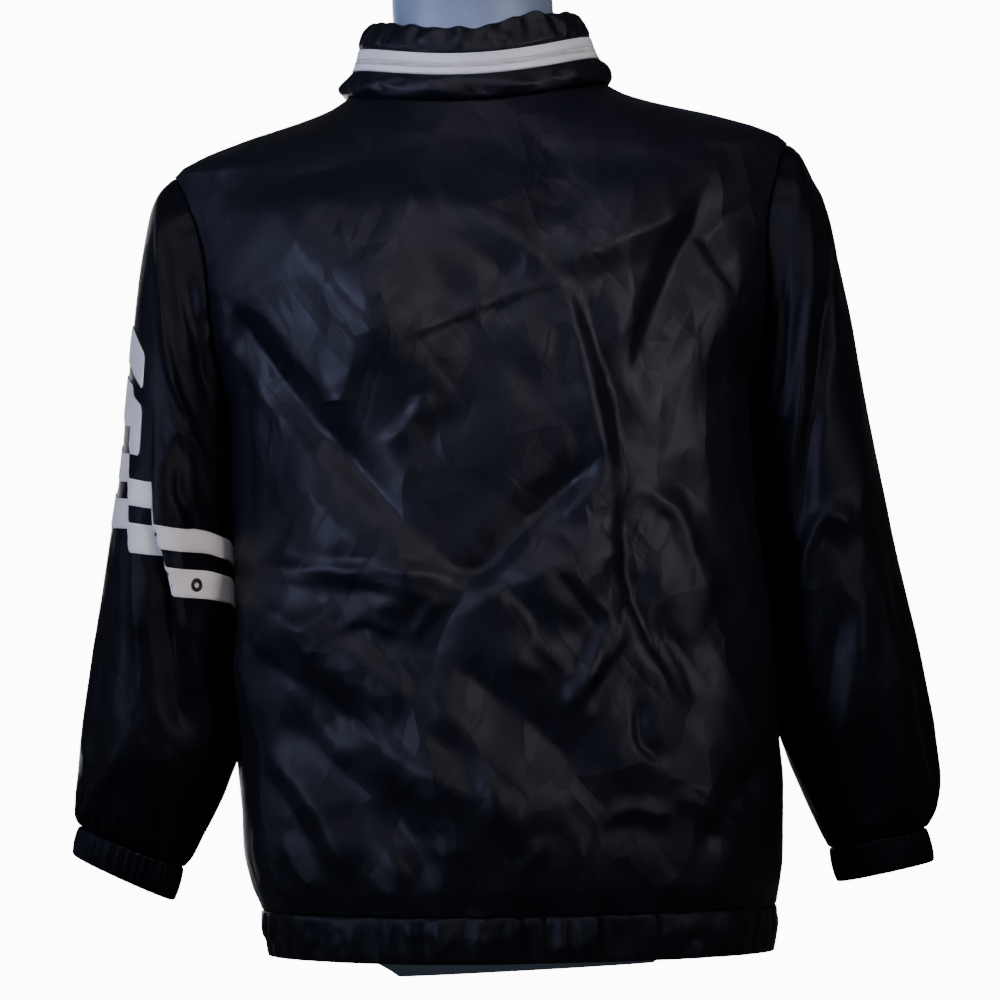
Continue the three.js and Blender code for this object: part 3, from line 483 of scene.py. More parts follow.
def planes(u, v, rows):
    """Flat planes that meet at sharp straight edges: each row lifts one side of a line, to a limit."""
    total = np.zeros(u.shape)
    for k in range(len(rows["x"])):
        turn = math.radians(rows["turn"][k])
        across = (v - rows["z"][k]) * math.cos(turn) - (u - rows["x"][k]) * math.sin(turn)
        along = (u - rows["x"][k]) * math.cos(turn) + (v - rows["z"][k]) * math.sin(turn)
        run, reach = rows["run"][k], rows["reach"][k]
        rise = 0.5 * (across + np.sqrt(across ** 2 + 1.5)) / run
        rise = rise * np.clip(2.6 - rise, 0, 1) - 0.3 * np.clip(rise - 0.6, 0, None) * (rise < 2.6)
        fade = 1 - smooth(0.55, 1, np.abs(along) / reach)
        total = total + rows["lift"][k] * np.clip(rise, 0, None) * fade
    return total


def arc_along(grid):
    """Arc length along the rows of a grid, nought at their middle column."""
    step = np.linalg.norm(np.diff(grid, axis=1), axis=2)
    walked = np.concatenate([np.zeros((len(grid), 1)), np.cumsum(step, axis=1)], axis=1)
    return walked - walked[:, -1:] / 2


def fold_height(plain, z, angle):
    """How far the creased cloth of a body panel stands off its plain surface."""
    x, back = plain[..., 0], np.sin(angle) > 0
    height = plain[..., 2]
    edge = np.abs(np.sin(angle)) - np.sin(np.where(back, armhole_angle(z, False), armhole_angle(z, True)))
    zip_fade = np.where(back, 1, smooth(10, 46, np.abs(x)))
    top = 1 - smooth(640, 704, z)
    fade = smooth(0.0, 0.12, edge) * smooth(HEM_SEAM, 66, z) * top * zip_fade
    shoulder = 0.75 + 0.25 * (1 - smooth(600, 690, z))
    arc = -arc_along(plain)
    if back.mean() > 0.5:
        on = creases(x, height, BACK_CREASES) + creases(arc, height, BACK_SMALL)
        on = on + 1.2 * wander(arc, height, 75, 8) + planes(arc, height, BACK_PLANES)
    else:
        on = creases(x, height, FRONT_CREASES) + creases(x, height, FRONT_SMALL)
        on = on + 1.6 * wander(x, height, 75, 26) + planes(x, height, FRONT_PLANES)
    pucker = np.cos(height / 5.2 + 2 * np.sin(height / 23)) * 0.7 * np.exp(-(edge / 0.06) ** 2)
    pucker = pucker * smooth(ARMHOLE_MIDDLE - 95, ARMHOLE_MIDDLE - 60, z) * (1 - smooth(660, 686, z))
    on = np.maximum(on * fade * shoulder, -0.3 - 15 * (1 - smooth(575, 655, z)))
    return on + pucker * (edge > 0.004) + np.where(back, gathers(x, height), 0)


def gathers(x, height):
    """The pulled-up folds over the middle of the hem's back."""
    total = np.zeros(x.shape)
    for k in range(len(HEM_GATHERS["x"])):
        across = np.exp(-((x - HEM_GATHERS["x"][k]) / HEM_GATHERS["wide"][k]) ** 2)
        along = 1 - smooth(HEM_SEAM - 20, HEM_GATHERS["reach"][k], height)
        total = total + HEM_GATHERS["proud"][k] * across * along
    return total * 1.1


# Small creases, strewn where the picture is crushed and alike where it does not reach
BACK_SMALL = strewn(11, ((-95, 225, 70, 14), (60, 320, 60, 12), (150, 330, 60, 10), (-50, 320, 80, 8),
                         (40, 220, 80, 8), (110, 140, 110, 10), (-190, 130, 70, 8), (-10, 90, 150, 10),
                         (90, 450, 90, 6), (-190, 380, 100, 10), (0, 580, 190, 12), (210, 300, 90, 8),
                         (220, 520, 80, 8), (-230, 560, 70, 8)), (0.75, -0.75, -0.35), 0.35, 84, 1.7)
FRONT_SMALL = strewn(29, ((100, 300, 120, 16), (-100, 300, 120, 16), (110, 150, 110, 12),
                          (-110, 150, 110, 12), (100, 480, 110, 10), (-100, 480, 110, 10)),
                     (0.75, -0.75, -0.3), 0.35, 84, 2.0)
LEFT_SMALL = strewn(43, ((420, 120, 160, 20), (160, 120, 130, 10), (560, 60, 120, 10),
                         (300, 330, 200, 20), (520, 300, 150, 10)), (0.1, -0.15, 0.5), 0.3, 90, 1.6)
RIGHT_SMALL = strewn(59, ((420, 120, 170, 16), (160, 120, 130, 8), (560, 60, 120, 8),
                          (300, 330, 200, 20), (520, 300, 150, 10)), (0.1, -0.15, -0.5), 0.3, 90, 1.5)
HEM_SMALL = strewn(83, [(x, 18, 14, 5) for x in range(-320, 760, 34)], (1.35, -1.3, 0.5), 0.35, 26, 1.6)
COLLAR_LOW_SMALL = strewn(71, [(x, 12, 12, 4) for x in range(-130, 420, 22)], (0.2, -0.25, 0.6), 0.25, 26,
                          1.1)
COLLAR_HIGH_SMALL = strewn(73, [(x, 53, 12, 4) for x in range(-130, 420, 20)], (1.3, -1.2, 0.7), 0.35, 20,
                           1.3)

# How far the inner side of each sleeve is pressed against the body
CLOSE_LEFT = table("at push shift", (0.5, 4, 4.2), (1, 8, 4.6), (2, 11, 4), (4, 12, 2.8), (6, 11, 1),
                   (8, 9, 0), (10, 7, 0), (12, 5.6, 0))
CLOSE_RIGHT = table("at push shift", (0.5, 4, 5), (1, 9, 5.6), (3, 12, 4.2), (5, 12, 1.6), (7, 9, 0),
                    (9, 7, 0), (11, 5.6, 0), (12.5, 5.6, 0))

# The pleats of the left sleeve that step its stripes: how far along, how far round
PLEAT_INNER = table("at round", (5.0, 3.7), (6.0, 3.9), (7.8, 4.1), (8.6, 4.8), (9.2, 5.2), (10.5, 5.7),
                    (11.5, 5.9))
PLEAT_OUTER = table("at round", (6.0, 1.9), (7.6, 2.2), (8.6, 2.7), (9.6, 3.2), (11.0, 3.7), (12.0, 3.9))
pleat_inner, pleat_outer = monotone(PLEAT_INNER, "at", "round"), monotone(PLEAT_OUTER, "at", "round")


# Meshes from grids of points
def along_normals(grid, ring):
    if ring:
        wide = np.concatenate([grid[:, -1:], grid, grid[:, :1]], axis=1)
        across = wide[:, 2:] - wide[:, :-2]
    else:
        across = np.gradient(grid, axis=1)
    down = np.gradient(grid, axis=0)
    normal = np.cross(across, down)
    normal /= np.maximum(np.linalg.norm(normal, axis=2, keepdims=True), 1e-9)
    middle = grid.mean(axis=1, keepdims=True)
    if ((grid - middle) * normal).sum() < 0:
        normal = -normal
    return normal


def border(grid, ring):
    """Distance of each point from the nearest open edge, measured along the cloth."""
    def walked(axis):
        step = np.linalg.norm(np.diff(grid, axis=axis), axis=2)
        zero = np.zeros_like(np.take(step, [0], axis=axis))
        there = np.concatenate([zero, np.cumsum(step, axis=axis)], axis=axis)
        return np.minimum(there, np.take(there, [-1], axis=axis) - there)
    near = walked(0)
    return near if ring else np.minimum(near, walked(1))


def placed(name, data):
    """A new object of the scene."""
    made = bpy.data.objects.new(name, data)
    bpy.context.scene.collection.objects.link(made)
    return made


def mesh_from(name, vertices, faces, uv, material):
    mesh = bpy.data.meshes.new(name)
    mesh.from_pydata((np.asarray(vertices) / 1000).tolist(), [], np.asarray(faces).tolist())
    layer = mesh.uv_layers.new(name="cloth")
    corners = np.empty(len(mesh.loops), dtype=np.int32)
    mesh.loops.foreach_get("vertex_index", corners)
    layer.data.foreach_set("uv", np.asarray(uv, dtype=np.float32)[corners].ravel())
    mesh.polygons.foreach_set("use_smooth", np.ones(len(mesh.polygons), dtype=bool))
    mesh.materials.append(material)
    mesh.update()
    return placed(name, mesh)


def shell(name, grid, material, wall=CLOTH, ring=False, raise_by=0.0, roll=0.7, roll_wide=3.0, draw_in=SEAM,
          seams="", allowance=2.6):
    """A thin closed wall under a grid of points, its edges rolled in. At its seams (first and last of
    the rows and columns: t, b, l, r) the allowance runs on under the next piece."""
    normal = along_normals(grid, ring)
    rows, cols = grid.shape[:2]
    near = border(grid, ring)
    dip = roll * np.clip(1 - near / roll_wide, 0, 1) ** 2
    outer = grid + normal * (raise_by - dip)[..., None]
    inner = outer - normal * wall
    edges = {"t": (np.s_[0], np.s_[1]), "b": (np.s_[-1], np.s_[-2]),
             "l": (np.s_[:, 0], np.s_[:, 1]), "r": (np.s_[:, -1], np.s_[:, -2])}
    for edge, (first, second) in edges.items():
        if ring and edge in "lr":
            continue
        step = outer[second] - outer[first]
        step = step / np.maximum(np.linalg.norm(step, axis=-1, keepdims=True), 1e-6)
        outer[first] += draw_in * step
        inner[first] += draw_in * step
        if edge in seams:
            inner[first] -= allowance * step + 0.9 * normal[first]
    vertices = np.concatenate([outer.reshape(-1, 3), inner.reshape(-1, 3)])
    index = np.arange(rows * cols).reshape(rows, cols)
    if ring:
        index = np.concatenate([index, index[:, :1]], axis=1)
    a, b, c, d = index[:-1, :-1], index[:-1, 1:], index[1:, 1:], index[1:, :-1]
    outside = np.stack([a, b, c, d], axis=-1).reshape(-1, 4)
    n = rows * cols
    inside = outside[:, ::-1] + n
    rims = [np.stack([index[0, 1:], index[0, :-1], index[0, :-1] + n, index[0, 1:] + n], axis=-1),
            np.stack([index[-1, :-1], index[-1, 1:], index[-1, 1:] + n, index[-1, :-1] + n], axis=-1)]
    if not ring:
        rims.append(np.stack([index[:-1, 0], index[1:, 0], index[1:, 0] + n, index[:-1, 0] + n], axis=-1))
        rims.append(np.stack([index[1:, -1], index[:-1, -1], index[:-1, -1] + n, index[1:, -1] + n], axis=-1))
    faces = np.concatenate([outside, inside, *rims])
    middle = outside[len(outside) // 2]
    corner = vertices[middle]
    facing = np.cross(corner[1] - corner[0], corner[3] - corner[0])
    if (facing * normal.reshape(-1, 3)[middle[0]]).sum() < 0:
        faces = faces[:, ::-1]
    walked = np.cumsum(np.linalg.norm(np.diff(grid, axis=1), axis=2), axis=1)
    across = np.concatenate([np.zeros((rows, 1)), walked], axis=1)
    fallen = np.cumsum(np.linalg.norm(np.diff(grid, axis=0), axis=2), axis=0)
    down = np.concatenate([np.zeros((1, cols)), fallen], axis=0)
    uv = np.stack([across - across.mean(axis=1, keepdims=True), down], axis=-1).reshape(-1, 2) / 1000
    return mesh_from(name, vertices, faces, np.concatenate([uv, uv]), material)


def flat_size(grid):
    """Width and length of the cut that a grid of cloth points came from, and its area, in metres."""
    across = np.linalg.norm(np.diff(grid, axis=1), axis=2)
    down = np.linalg.norm(np.diff(grid, axis=0), axis=2)
    cells = np.linalg.norm(np.cross(grid[:-1, 1:] - grid[:-1, :-1], grid[1:, :-1] - grid[:-1, :-1]), axis=2)
    width, length = across.sum(axis=1).max() / 1000, down.sum(axis=0).max() / 1000
    return (width, length), min(cells.sum() / 1e6, width * length)


def dense_ends(low, high, count, tight=(0.8, 1.8, 3.2, 5.2)):
    """Even steps from low to high, with a few closer ones at both ends, in millimetres."""
    even = low + (high - low) / count * np.arange(1, count)
    tight, clear = np.array(tight), tight[-1] + 0.5
    inner = even[(even > low + clear) & (even < high - clear)]
    return np.concatenate([[low], low + tight, inner, high - tight[::-1], [high]])


# Looks
class Value:
    """A socket that takes part in sums, as a number does."""

    def __init__(self, finish, socket):
        self.finish, self.socket = finish, socket

    def maths(self, operation, other):
        return self.finish.node("ShaderNodeMath", {"operation": operation}, {0: self, 1: other})

    def __add__(self, other):
        return self.maths("ADD", other)

    def __mul__(self, other):
        return self.maths("MULTIPLY", other)


class Finish:
    """One material: a principled surface and the nodes that feed it."""

    def __init__(self, name, **settings):
        self.material = bpy.data.materials.new(name)
        self.material.use_nodes = True
        self.tree = self.material.node_tree
        self.tree.nodes.clear()
        self.surface = self.tree.nodes.new("ShaderNodeBsdfPrincipled")
        out = self.tree.nodes.new("ShaderNodeOutputMaterial")
        self.tree.links.new(self.surface.outputs[0], out.inputs["Surface"])
        self.set(**settings)

    def set(self, **settings):
        for name, value in settings.items():
            socket = self.surface.inputs[name.replace("_", " ")]
            if isinstance(value, Value):
                self.tree.links.new(value.socket, socket)
            else:
                socket.default_value = value
        return self

    def node(self, kind, settings=None, inputs=None, out=0):
        made = self.tree.nodes.new(kind)
        for name, value in (settings or {}).items():
            setattr(made, name, value)
        for key, value in (inputs or {}).items():
            if isinstance(value, Value):
                self.tree.links.new(value.socket, made.inputs[key])
            else:
                made.inputs[key].default_value = value
        return Value(self, made.outputs[out])

    def place(self):
        return self.node("ShaderNodeTexCoord", out=3)

    def cloth_uv(self):
        return self.node("ShaderNodeUVMap", {"uv_map": "cloth"})

    def noise(self, where, scale, detail=2.0, rough=0.5):
        inputs = {"Vector": where, "Scale": scale, "Detail": detail, "Roughness": rough}
        return self.node("ShaderNodeTexNoise", {}, inputs)

    def range(self, value, low, high, to_low, to_high):
        return self.node("ShaderNodeMapRange", {}, {0: value, 1: low, 2: high, 3: to_low, 4: to_high})

    def mix(self, share, a, b):
        return self.node("ShaderNodeMix", {"data_type": "RGBA"}, {0: share, 6: a, 7: b}, out=2)

    def voronoi(self, where, scale):
        kind = {"feature": "F1", "distance": "MANHATTAN"}
        return self.node("ShaderNodeTexVoronoi", kind, {"Vector": where, "Scale": scale, "Randomness": 1.0})

    def turned(self, where, rotation):
        inputs = {"Vector": where, "Rotation": rotation, "Scale": (1.0, 0.8, 0.6)}
        return self.node("ShaderNodeMapping", {}, inputs)

    def threads(self, where, direction, scale):
        kind = {"wave_type": "BANDS", "bands_direction": direction}
        return self.node("ShaderNodeTexWave", kind, {"Vector": where, "Scale": scale})

    def bump(self, height, distance, strength, under=None):
        inputs = {"Height": height, "Distance": distance, "Strength": strength}
        if under is not None:
            inputs["Normal"] = under
        return self.node("ShaderNodeBump", {}, inputs)


def linear(r, g, b):
    convert = lambda v: ((v / 255 + 0.055) / 1.055) ** 2.4 if v > 10.3 else v / 255 / 12.92
    return (convert(r), convert(g), convert(b), 1.0)


def nylon(name, gloss, dark, light):
    """Thin crisp taffeta: dark navy, a soft gloss, flat facets as of crushed paper, and a fine weave."""
    f = Finish(name, IOR=1.47, Specular_IOR_Level=gloss)
    f.set(Sheen_Weight=0.02, Sheen_Roughness=0.35)
    where = f.place()
    tone = f.noise(where, 5.0, 3.0)
    f.set(Base_Color=f.mix(f.range(tone, 0.3, 0.7, 0, 1), dark, light))
    wear = f.noise(where, 38.0, 4.0)
    f.set(Roughness=f.range(wear, 0.3, 0.7, 0.44, 0.52))
    stray = f.node("ShaderNodeTexNoise", {}, {"Vector": where, "Scale": 9.0, "Detail": 2.0}, out=1)
    stray_by = (0.04, 0.04, 0.04)
    bent = f.node("ShaderNodeVectorMath", {"operation": "MULTIPLY_ADD"}, {0: stray, 1: stray_by, 2: where})
    wide, close = f.turned(bent, (0.1, 0.7, 0.0)), f.turned(bent, (0.0, -0.9, 0.2))
    large, small, huge = f.voronoi(wide, 12.0), f.voronoi(close, 30.0), f.voronoi(close, 6.5)
    patch = f.range(f.noise(where, 6.0, 1.0), 0.4, 0.62, 0.1, 1.0)
    tall = f.node("ShaderNodeSeparateXYZ", {}, {"Vector": where}, out=2)
    crush = f.range(tall, 0.3, 0.5, 1.35, 0.8)
    spread = f.bump(huge * crush, 0.009, 0.75)
    first = f.bump(large * crush, 0.007, 0.8, spread)
    second = f.bump(small * patch, 0.0032, 0.8, first)
    third = f.bump(f.noise(where, 130.0, 3.0, 0.6), 0.0008, 0.2, second)
    uv = f.cloth_uv()
    warp, weft = f.threads(uv, "X", 480.0), f.threads(uv, "Y", 480.0)
    f.set(Normal=f.bump(warp + weft, 0.0001, 0.2, third))
    return f.material


def woven(name, light, dark, rough, scale, strength):
    """A matt woven tape or twill."""
    f = Finish(name, IOR=1.45)
    where, uv = f.place(), f.cloth_uv()
    soil = f.noise(where, 24.0, 4.0)
    f.set(Base_Color=f.mix(f.range(soil, 0.35, 0.75, 0, 1), light, dark))
    f.set(Roughness=f.range(soil, 0.2, 0.8, rough - 0.06, rough + 0.06))
    warp, weft = f.threads(uv, "DIAGONAL", scale), f.threads(uv, "Y", scale * 1.3)
    loose = f.bump(f.noise(where, 60.0, 3.0), 0.001, 0.25)
    f.set(Normal=f.bump(warp + weft * 0.6, 0.0002, strength, loose))
    return f.material


def plain(name, colour, rough, metallic=0.0, bump=0.15, scale=90.0, spread=0.05):
    """Moulded or cast: an even colour with slight wear."""
    f = Finish(name, Metallic=metallic)
    where = f.place()
    wear = f.noise(where, scale, 4.0)
    darker = tuple(c * 0.72 for c in colour[:3]) + (1.0,)
    f.set(Base_Color=f.mix(f.range(wear, 0.35, 0.7, 0, 1), colour, darker))
    f.set(Roughness=f.range(wear, 0.3, 0.7, rough - spread, rough + spread))
    f.set(Normal=f.bump(wear, 0.0003, bump))
    return f.material


NYLON = nylon("navy nylon", 0.29, linear(7, 8, 16), linear(10, 11, 20))
# A darker, less glossy copy of the navy nylon for the sleeves and cuffs: painted shade, the same cloth
# darkened where the arms hang in shade.
SHADED_NYLON = nylon("navy nylon, darkened on the arms as painted shade", 0.14, linear(7, 7, 13), linear(9, 9, 16))
WHITE = woven("off-white twill", linear(243, 237, 227), linear(232, 226, 214), 0.72, 260.0, 0.35)
TAPE = woven("white zip tape", linear(246, 245, 238), linear(236, 235, 228), 0.62, 420.0, 0.3)
DARK_TAPE = woven("dark zip tape", linear(16, 17, 24), linear(22, 23, 30), 0.7, 420.0, 0.3)
COIL = plain("off-white coil", linear(238, 237, 230), 0.45)
DARK_COIL = plain("dark coil", linear(18, 18, 24), 0.4)
THREAD = plain("navy thread", linear(26, 28, 42), 0.55, scale=400.0)
PALE_THREAD = plain("off-white thread", linear(226, 220, 208), 0.65, scale=400.0)
METAL = plain("dark antique metal", linear(74, 66, 58), 0.42, 0.9, 0.25, 220.0, 0.1)
WHITE_STUDIO = Finish("white studio", Roughness=0.9, Base_Color=(0.9, 0.9, 0.9, 1),
                      Emission_Color=(1, 1, 1, 1), Emission_Strength=12.0).material
SHELL = plain("pale blue-grey form", linear(156, 172, 194), 0.4, 0.0, 0.05, 14.0, 0.05)


# Body panels
def arm_rows(count):
    return ARMHOLE_MIDDLE - ARMHOLE_TALL * np.cos(np.linspace(0, math.pi, count + 1))


def panel_rows():
    low = dense_ends(HEM_SEAM, 480, 134)[:-5]
    high = dense_ends(688, NECK_HEIGHT, 18)[5:]
    return np.concatenate([low[low < 479], arm_rows(ARMHOLE_ROWS), high[high > 689]])


def eased(angle, edge):
    return angle + edge * np.clip(1 - angle / (0.5 * math.pi), 0, 1) ** 2.4


def zip_angle(z, side):
    """Where the edge of a front runs beside the zip."""
    c = (side * ZIP_CLOTH - body["shift"](z)) / body["half"](z)
    return 1.5 * math.pi + np.arcsin(power(c, 1 / body["round"](z)))


def share_steps(count, tight=(0.003, 0.007, 0.013)):
    """Even steps from 0 to 1, with a few closer ones at both ends."""
    even = np.linspace(0, 1, count + 1)
    even = even[(even > tight[-1] + 0.002) & (even < 1 - tight[-1] - 0.002)]
    return np.concatenate([[0], tight, even, 1 - np.array(tight)[::-1], [1]])


def folded(z, angle):
    """The creased points of a panel, with a last row that runs on under the collar."""
    plain_points = body_plain(z, angle)
    height = fold_height(plain_points, z, angle)
    normal = along_normals(plain_points, False)
    grid = plain_points + normal * height[..., None]
    step = grid[-1] - grid[-2]
    under_collar = grid[-1] + 2.2 * step / np.linalg.norm(step, axis=-1, keepdims=True)
    return np.concatenate([grid, under_collar[None]])


def back_grid():
    z = panel_rows()[:, None]
    share = share_steps(BACK_COLUMNS)[None]
    edge = armhole_angle(z, False)
    half = np.where(share < 0.5, share, 1 - share) * math.pi
    angle = eased(half, edge)
    angle = np.where(share < 0.5, angle, math.pi - angle)
    return folded(np.broadcast_to(z, angle.shape), angle)


def front_grid(side):
    z = panel_rows()[:, None]
    share = share_steps(FRONT_COLUMNS)[None]
    edge = armhole_angle(z, True)
    zip_at = zip_angle(z, side)
    reach = 2 * math.pi - zip_at if side > 0 else zip_at - math.pi
    half = eased(share * reach, edge)
    angle = 2 * math.pi - half if side > 0 else math.pi + half
    return folded(np.broadcast_to(z, angle.shape), angle)


# Sleeves
def oval(angle):
    return power(np.cos(angle), SLEEVE_OVAL)


def ring_points(side, r, round_at):
    angle = round_at * 2 * math.pi / SLEEVE_SIDES
    c, s = oval(angle), power(np.sin(angle), SLEEVE_OVAL)
    x = (r["outX"] + r["inX"]) / 2 + (r["outX"] - r["inX"]) / 2 * c
    z = (r["outZ"] + r["inZ"]) / 2 + (r["outZ"] - r["inZ"]) / 2 * c
    return points(side * x, r["deep"] * s - r["lean"], z)


def armhole_points(side, round_at):
    angle = round_at * 2 * math.pi / SLEEVE_SIDES
    z = ARMHOLE_MIDDLE + ARMHOLE_TALL * np.cos(angle)
    front = np.sin(angle) < 0
    edge = np.where(front, armhole_angle(z, True), armhole_angle(z, False))
    if side > 0:
        around = np.where(front, -edge, edge)
    else:
        around = np.where(front, math.pi + edge, math.pi - edge)
    return body_plain(z, around)


def pleat(t, drop, run):
    """An overlap: flat before nought, a steep rise there, then a long fall back."""
    fall = smooth(-0.09, 0.09, t) * (1 - smooth(0.1, run, t))
    hollow = smooth(-1.4, -0.1, t) * (1 - smooth(-0.1, 0.1, t))
    return drop * (fall - 0.3 * hollow)


def in_millimetres(rows):
    """The creases of a sleeve, from steps to millimetres of cloth."""
    scale = {"x": ALONG, "z": ROUND}
    return {name: column * scale.get(name[0], 1.0) for name, column in rows.items()}


def tread(c, low, high):
    """Levels of the stripes between the pleats, as steps of a stair."""
    inner, middle, outer = -0.5, 0.31, 0.84
    flat = inner + (middle - inner) * smooth(-0.03, 0.03, c - low)
    flat = flat + (outer - middle) * smooth(-0.03, 0.03, c - high)
    return flat + 0.1 * (c - flat)


def sleeve(side, at, round_at):
    """Points of a sleeve by how far along and how far round they are."""
    at, round_at = np.broadcast_arrays(np.asarray(at, float), np.asarray(round_at, float))
    ring = left_ring if side > 0 else right_ring
    r = {name: ring[name](at) for name in RING_COLUMNS}
    here = ring_points(side, r, round_at)
    first = {name: ring[name](np.zeros_like(at)) for name in RING_COLUMNS}
    start = armhole_points(side, round_at)
    turned = np.mod(round_at, SLEEVE_SIDES)
    angle = turned * 2 * math.pi / SLEEVE_SIDES
    under = 0.5 * (1 - np.cos(angle))
    start = start + points(side * (0.2 + 0.35 * under), 0 * under, -0.2 + 0 * under)
    fade = (1 - smooth(0, 1.5, at))[..., None]
    here = here + (start - ring_points(side, first, round_at)) * fade
    outside, inside = np.zeros_like(at), np.full_like(at, SLEEVE_SIDES / 2)
    middle = ring_points(side, r, outside) * 0.5 + ring_points(side, r, inside) * 0.5
    out = here - middle
    out /= np.maximum(np.linalg.norm(out, axis=-1, keepdims=True), 1e-6)
    rows, small = (LEFT_CREASES, LEFT_SMALL) if side > 0 else (RIGHT_CREASES, RIGHT_SMALL)
    u, v = at * ALONG, turned * ROUND
    seam_fade = smooth(0, 1.2, turned) * (1 - smooth(18.8, 20, turned))
    height = creases(u, v, in_millimetres(rows))
    height = height + (creases(u, v, small) + 1.5 * wander(u, v, 80, 45)) * seam_fade
    pucker = np.cos(turned * 5.1 + 1.3 * np.sin(turned * 2.1)) * 0.9 * np.exp(-((at - 0.35) / 0.5) ** 2)
    draw = smooth(14.8, 17.9, at) * np.cos(angle * 34 + 1.4 * np.sin(turned * 1.3)) * 1.5
    against = np.exp(-((turned - 10) / 2.6) ** 2) * (1 - smooth(13, 15, at))
    height = (height * smooth(0, 1.6, at) * (1 - smooth(16.6, 18, at)) + pucker) * (1 - 0.85 * against) + draw
    touch = np.exp(-((turned - 9.6) / 2.0) ** 4) * smooth(0.8, 1.8, at) * (1 - smooth(12.6, 14.2, at))
    close = CLOSE_LEFT if side > 0 else CLOSE_RIGHT
    height = np.where(against > 0.3, np.clip(height, -6, 0.6), height)
    height = height + np.interp(at, close["at"], close["push"]) * touch
    press = np.interp(at, close["at"], close["shift"]) * np.exp(-((turned - 10) / 2.6) ** 4)
    press = press * smooth(0.0, 0.4, at)
    here = here - points(side * press, 0 * press, 0 * press)
    if side > 0:
        reach = smooth(5.6, 7.2, at) * (1 - smooth(9.8, 12, at))
        shown = smooth(0.25, 0.9, turned) * (1 - smooth(8.6, 10.6, turned))
        inner, outer = pleat_inner(at), pleat_outer(at)
        height = height + reach * shown * (pleat(turned - inner, 7.0, 3.4) + pleat(turned - outer, 4.5, 1.9))
        c = oval(angle)
        stepped = tread(c, oval(inner * math.pi / 10), oval(outer * math.pi / 10))
        lift = (r["outZ"] - r["inZ"]) / 2 * (stepped - c) * reach * shown
        here = here + points(0 * lift, 0 * lift, lift)
    return here + out * height[..., None]


def around_rounds(side):
    """Columns round a sleeve, closer together where the pleats of the left one are."""
    if side < 0:
        return np.linspace(0, SLEEVE_SIDES, 124, endpoint=False)
    spans = ((0, 1.6, 9), (1.6, 6.2, 68), (6.2, SLEEVE_SIDES, 76))
    return np.concatenate([np.linspace(*span, endpoint=False) for span in spans])


def sleeve_grid(side):
    at = np.concatenate([np.linspace(0, 0.14, 5), np.linspace(0.2, 17.85, SLEEVE_ROWS),
                         np.linspace(17.9, 18, 4)])
    return sleeve(side, at[:, None], around_rounds(side)[None])


def cuff_grid(side):
    top = {name: (LEFT_RINGS if side > 0 else RIGHT_RINGS)[name][18] for name in RING_COLUMNS}
    low = LEFT_CUFF if side > 0 else RIGHT_CUFF
    down = np.array([0.0, 0.02, 0.05, 0.09, 0.16, 0.25, 0.36, 0.48, 0.6, 0.72, 0.83, 0.91, 0.96, 0.985, 1.0])
    down = down[:, None]
    turn = np.linspace(0, 2 * math.pi, CUFF_COLUMNS, endpoint=False)[None]
    r = {name: top[name] + (low[name] - top[name]) * down for name in RING_COLUMNS}
    here = ring_points(side, r, turn * SLEEVE_SIDES / (2 * math.pi))
    middle = points(side * (r["outX"] + r["inX"]) / 2, -r["lean"], (r["outZ"] + r["inZ"]) / 2)
    out = here - middle
    out /= np.linalg.norm(out, axis=-1, keepdims=True)
    phase = 36 * turn + 1.6 * np.sin(3 * turn + side) + 0.9 * np.sin(7 * turn)
    size = 0.75 + 0.5 * np.sin(5 * turn + 2 * side) * np.sin(2 * turn + 1)
    belly = np.sin(np.clip(down, 0, 1) * math.pi) ** 0.5
    gathered = size * np.cos(phase) + 0.35 * np.cos(2.1 * phase + 1)
    height = gathered * (0.35 + 0.65 * belly) + 1.6 * belly - 0.6
    return here + out * height[..., None]


# Hem casing
def hem_surface(up, angle, fine=True):
    c, s = np.cos(angle), np.sin(angle)
    half = HEM_HALF - 1 + 4 * smooth(0, 1, up)
    depth = np.where(s > 0, 136, 134) + 4 * smooth(0, 1, up)
    level = hem_lift(angle) + HEM_HEIGHT * up
    here = points(3 + half * power(c, HEM_OVAL), depth * power(s, HEM_OVAL), level)
    if not fine:
        return here
    x = here[..., 0]
    height = np.where(s > 0, gathers(x, np.full(x.shape, HEM_SEAM - 20.0)), 0)
    around = np.cos(52 * angle + 1.8 * np.sin(4 * angle) + np.sin(9 * angle))
    small = (0.35 + 0.25 * np.sin(3 * angle + 1)) * around
    free = np.where(s > 0, 1, smooth(0.02, 0.2, np.abs(c)))
    belly = np.sin(np.clip(up, 0, 1) * math.pi) ** 0.5
    rumpled = creases(angle * 170 + 0 * x, HEM_HEIGHT * up + 0 * x, HEM_SMALL) * belly * free
    total = (height * (0.55 + 0.45 * belly) + small * free) + rumpled + 1.5 * belly * free - 0.3
    return here + points(c, s, 0 * c) * total[..., None]


def hem_angles(count):
    left = -0.5 * math.pi + np.arcsin(power((ZIP_CLOTH - 3) / HEM_HALF, 1 / HEM_OVAL))
    right = 1.5 * math.pi + np.arcsin(power((-ZIP_CLOTH - 3) / HEM_HALF, 1 / HEM_OVAL))
    return left + (right - left) * share_steps(count, (0.0007, 0.0016, 0.003))


def hem_grid():
    up = np.array([0, 0.012, 0.03, 0.06, 0.12, 0.2, 0.3, 0.4, 0.5, 0.6, 0.7, 0.78, 0.85, 0.91, 0.95,
                   0.98, 1.0])
    return hem_surface(up[:, None], hem_angles(HEM_COLUMNS)[None])


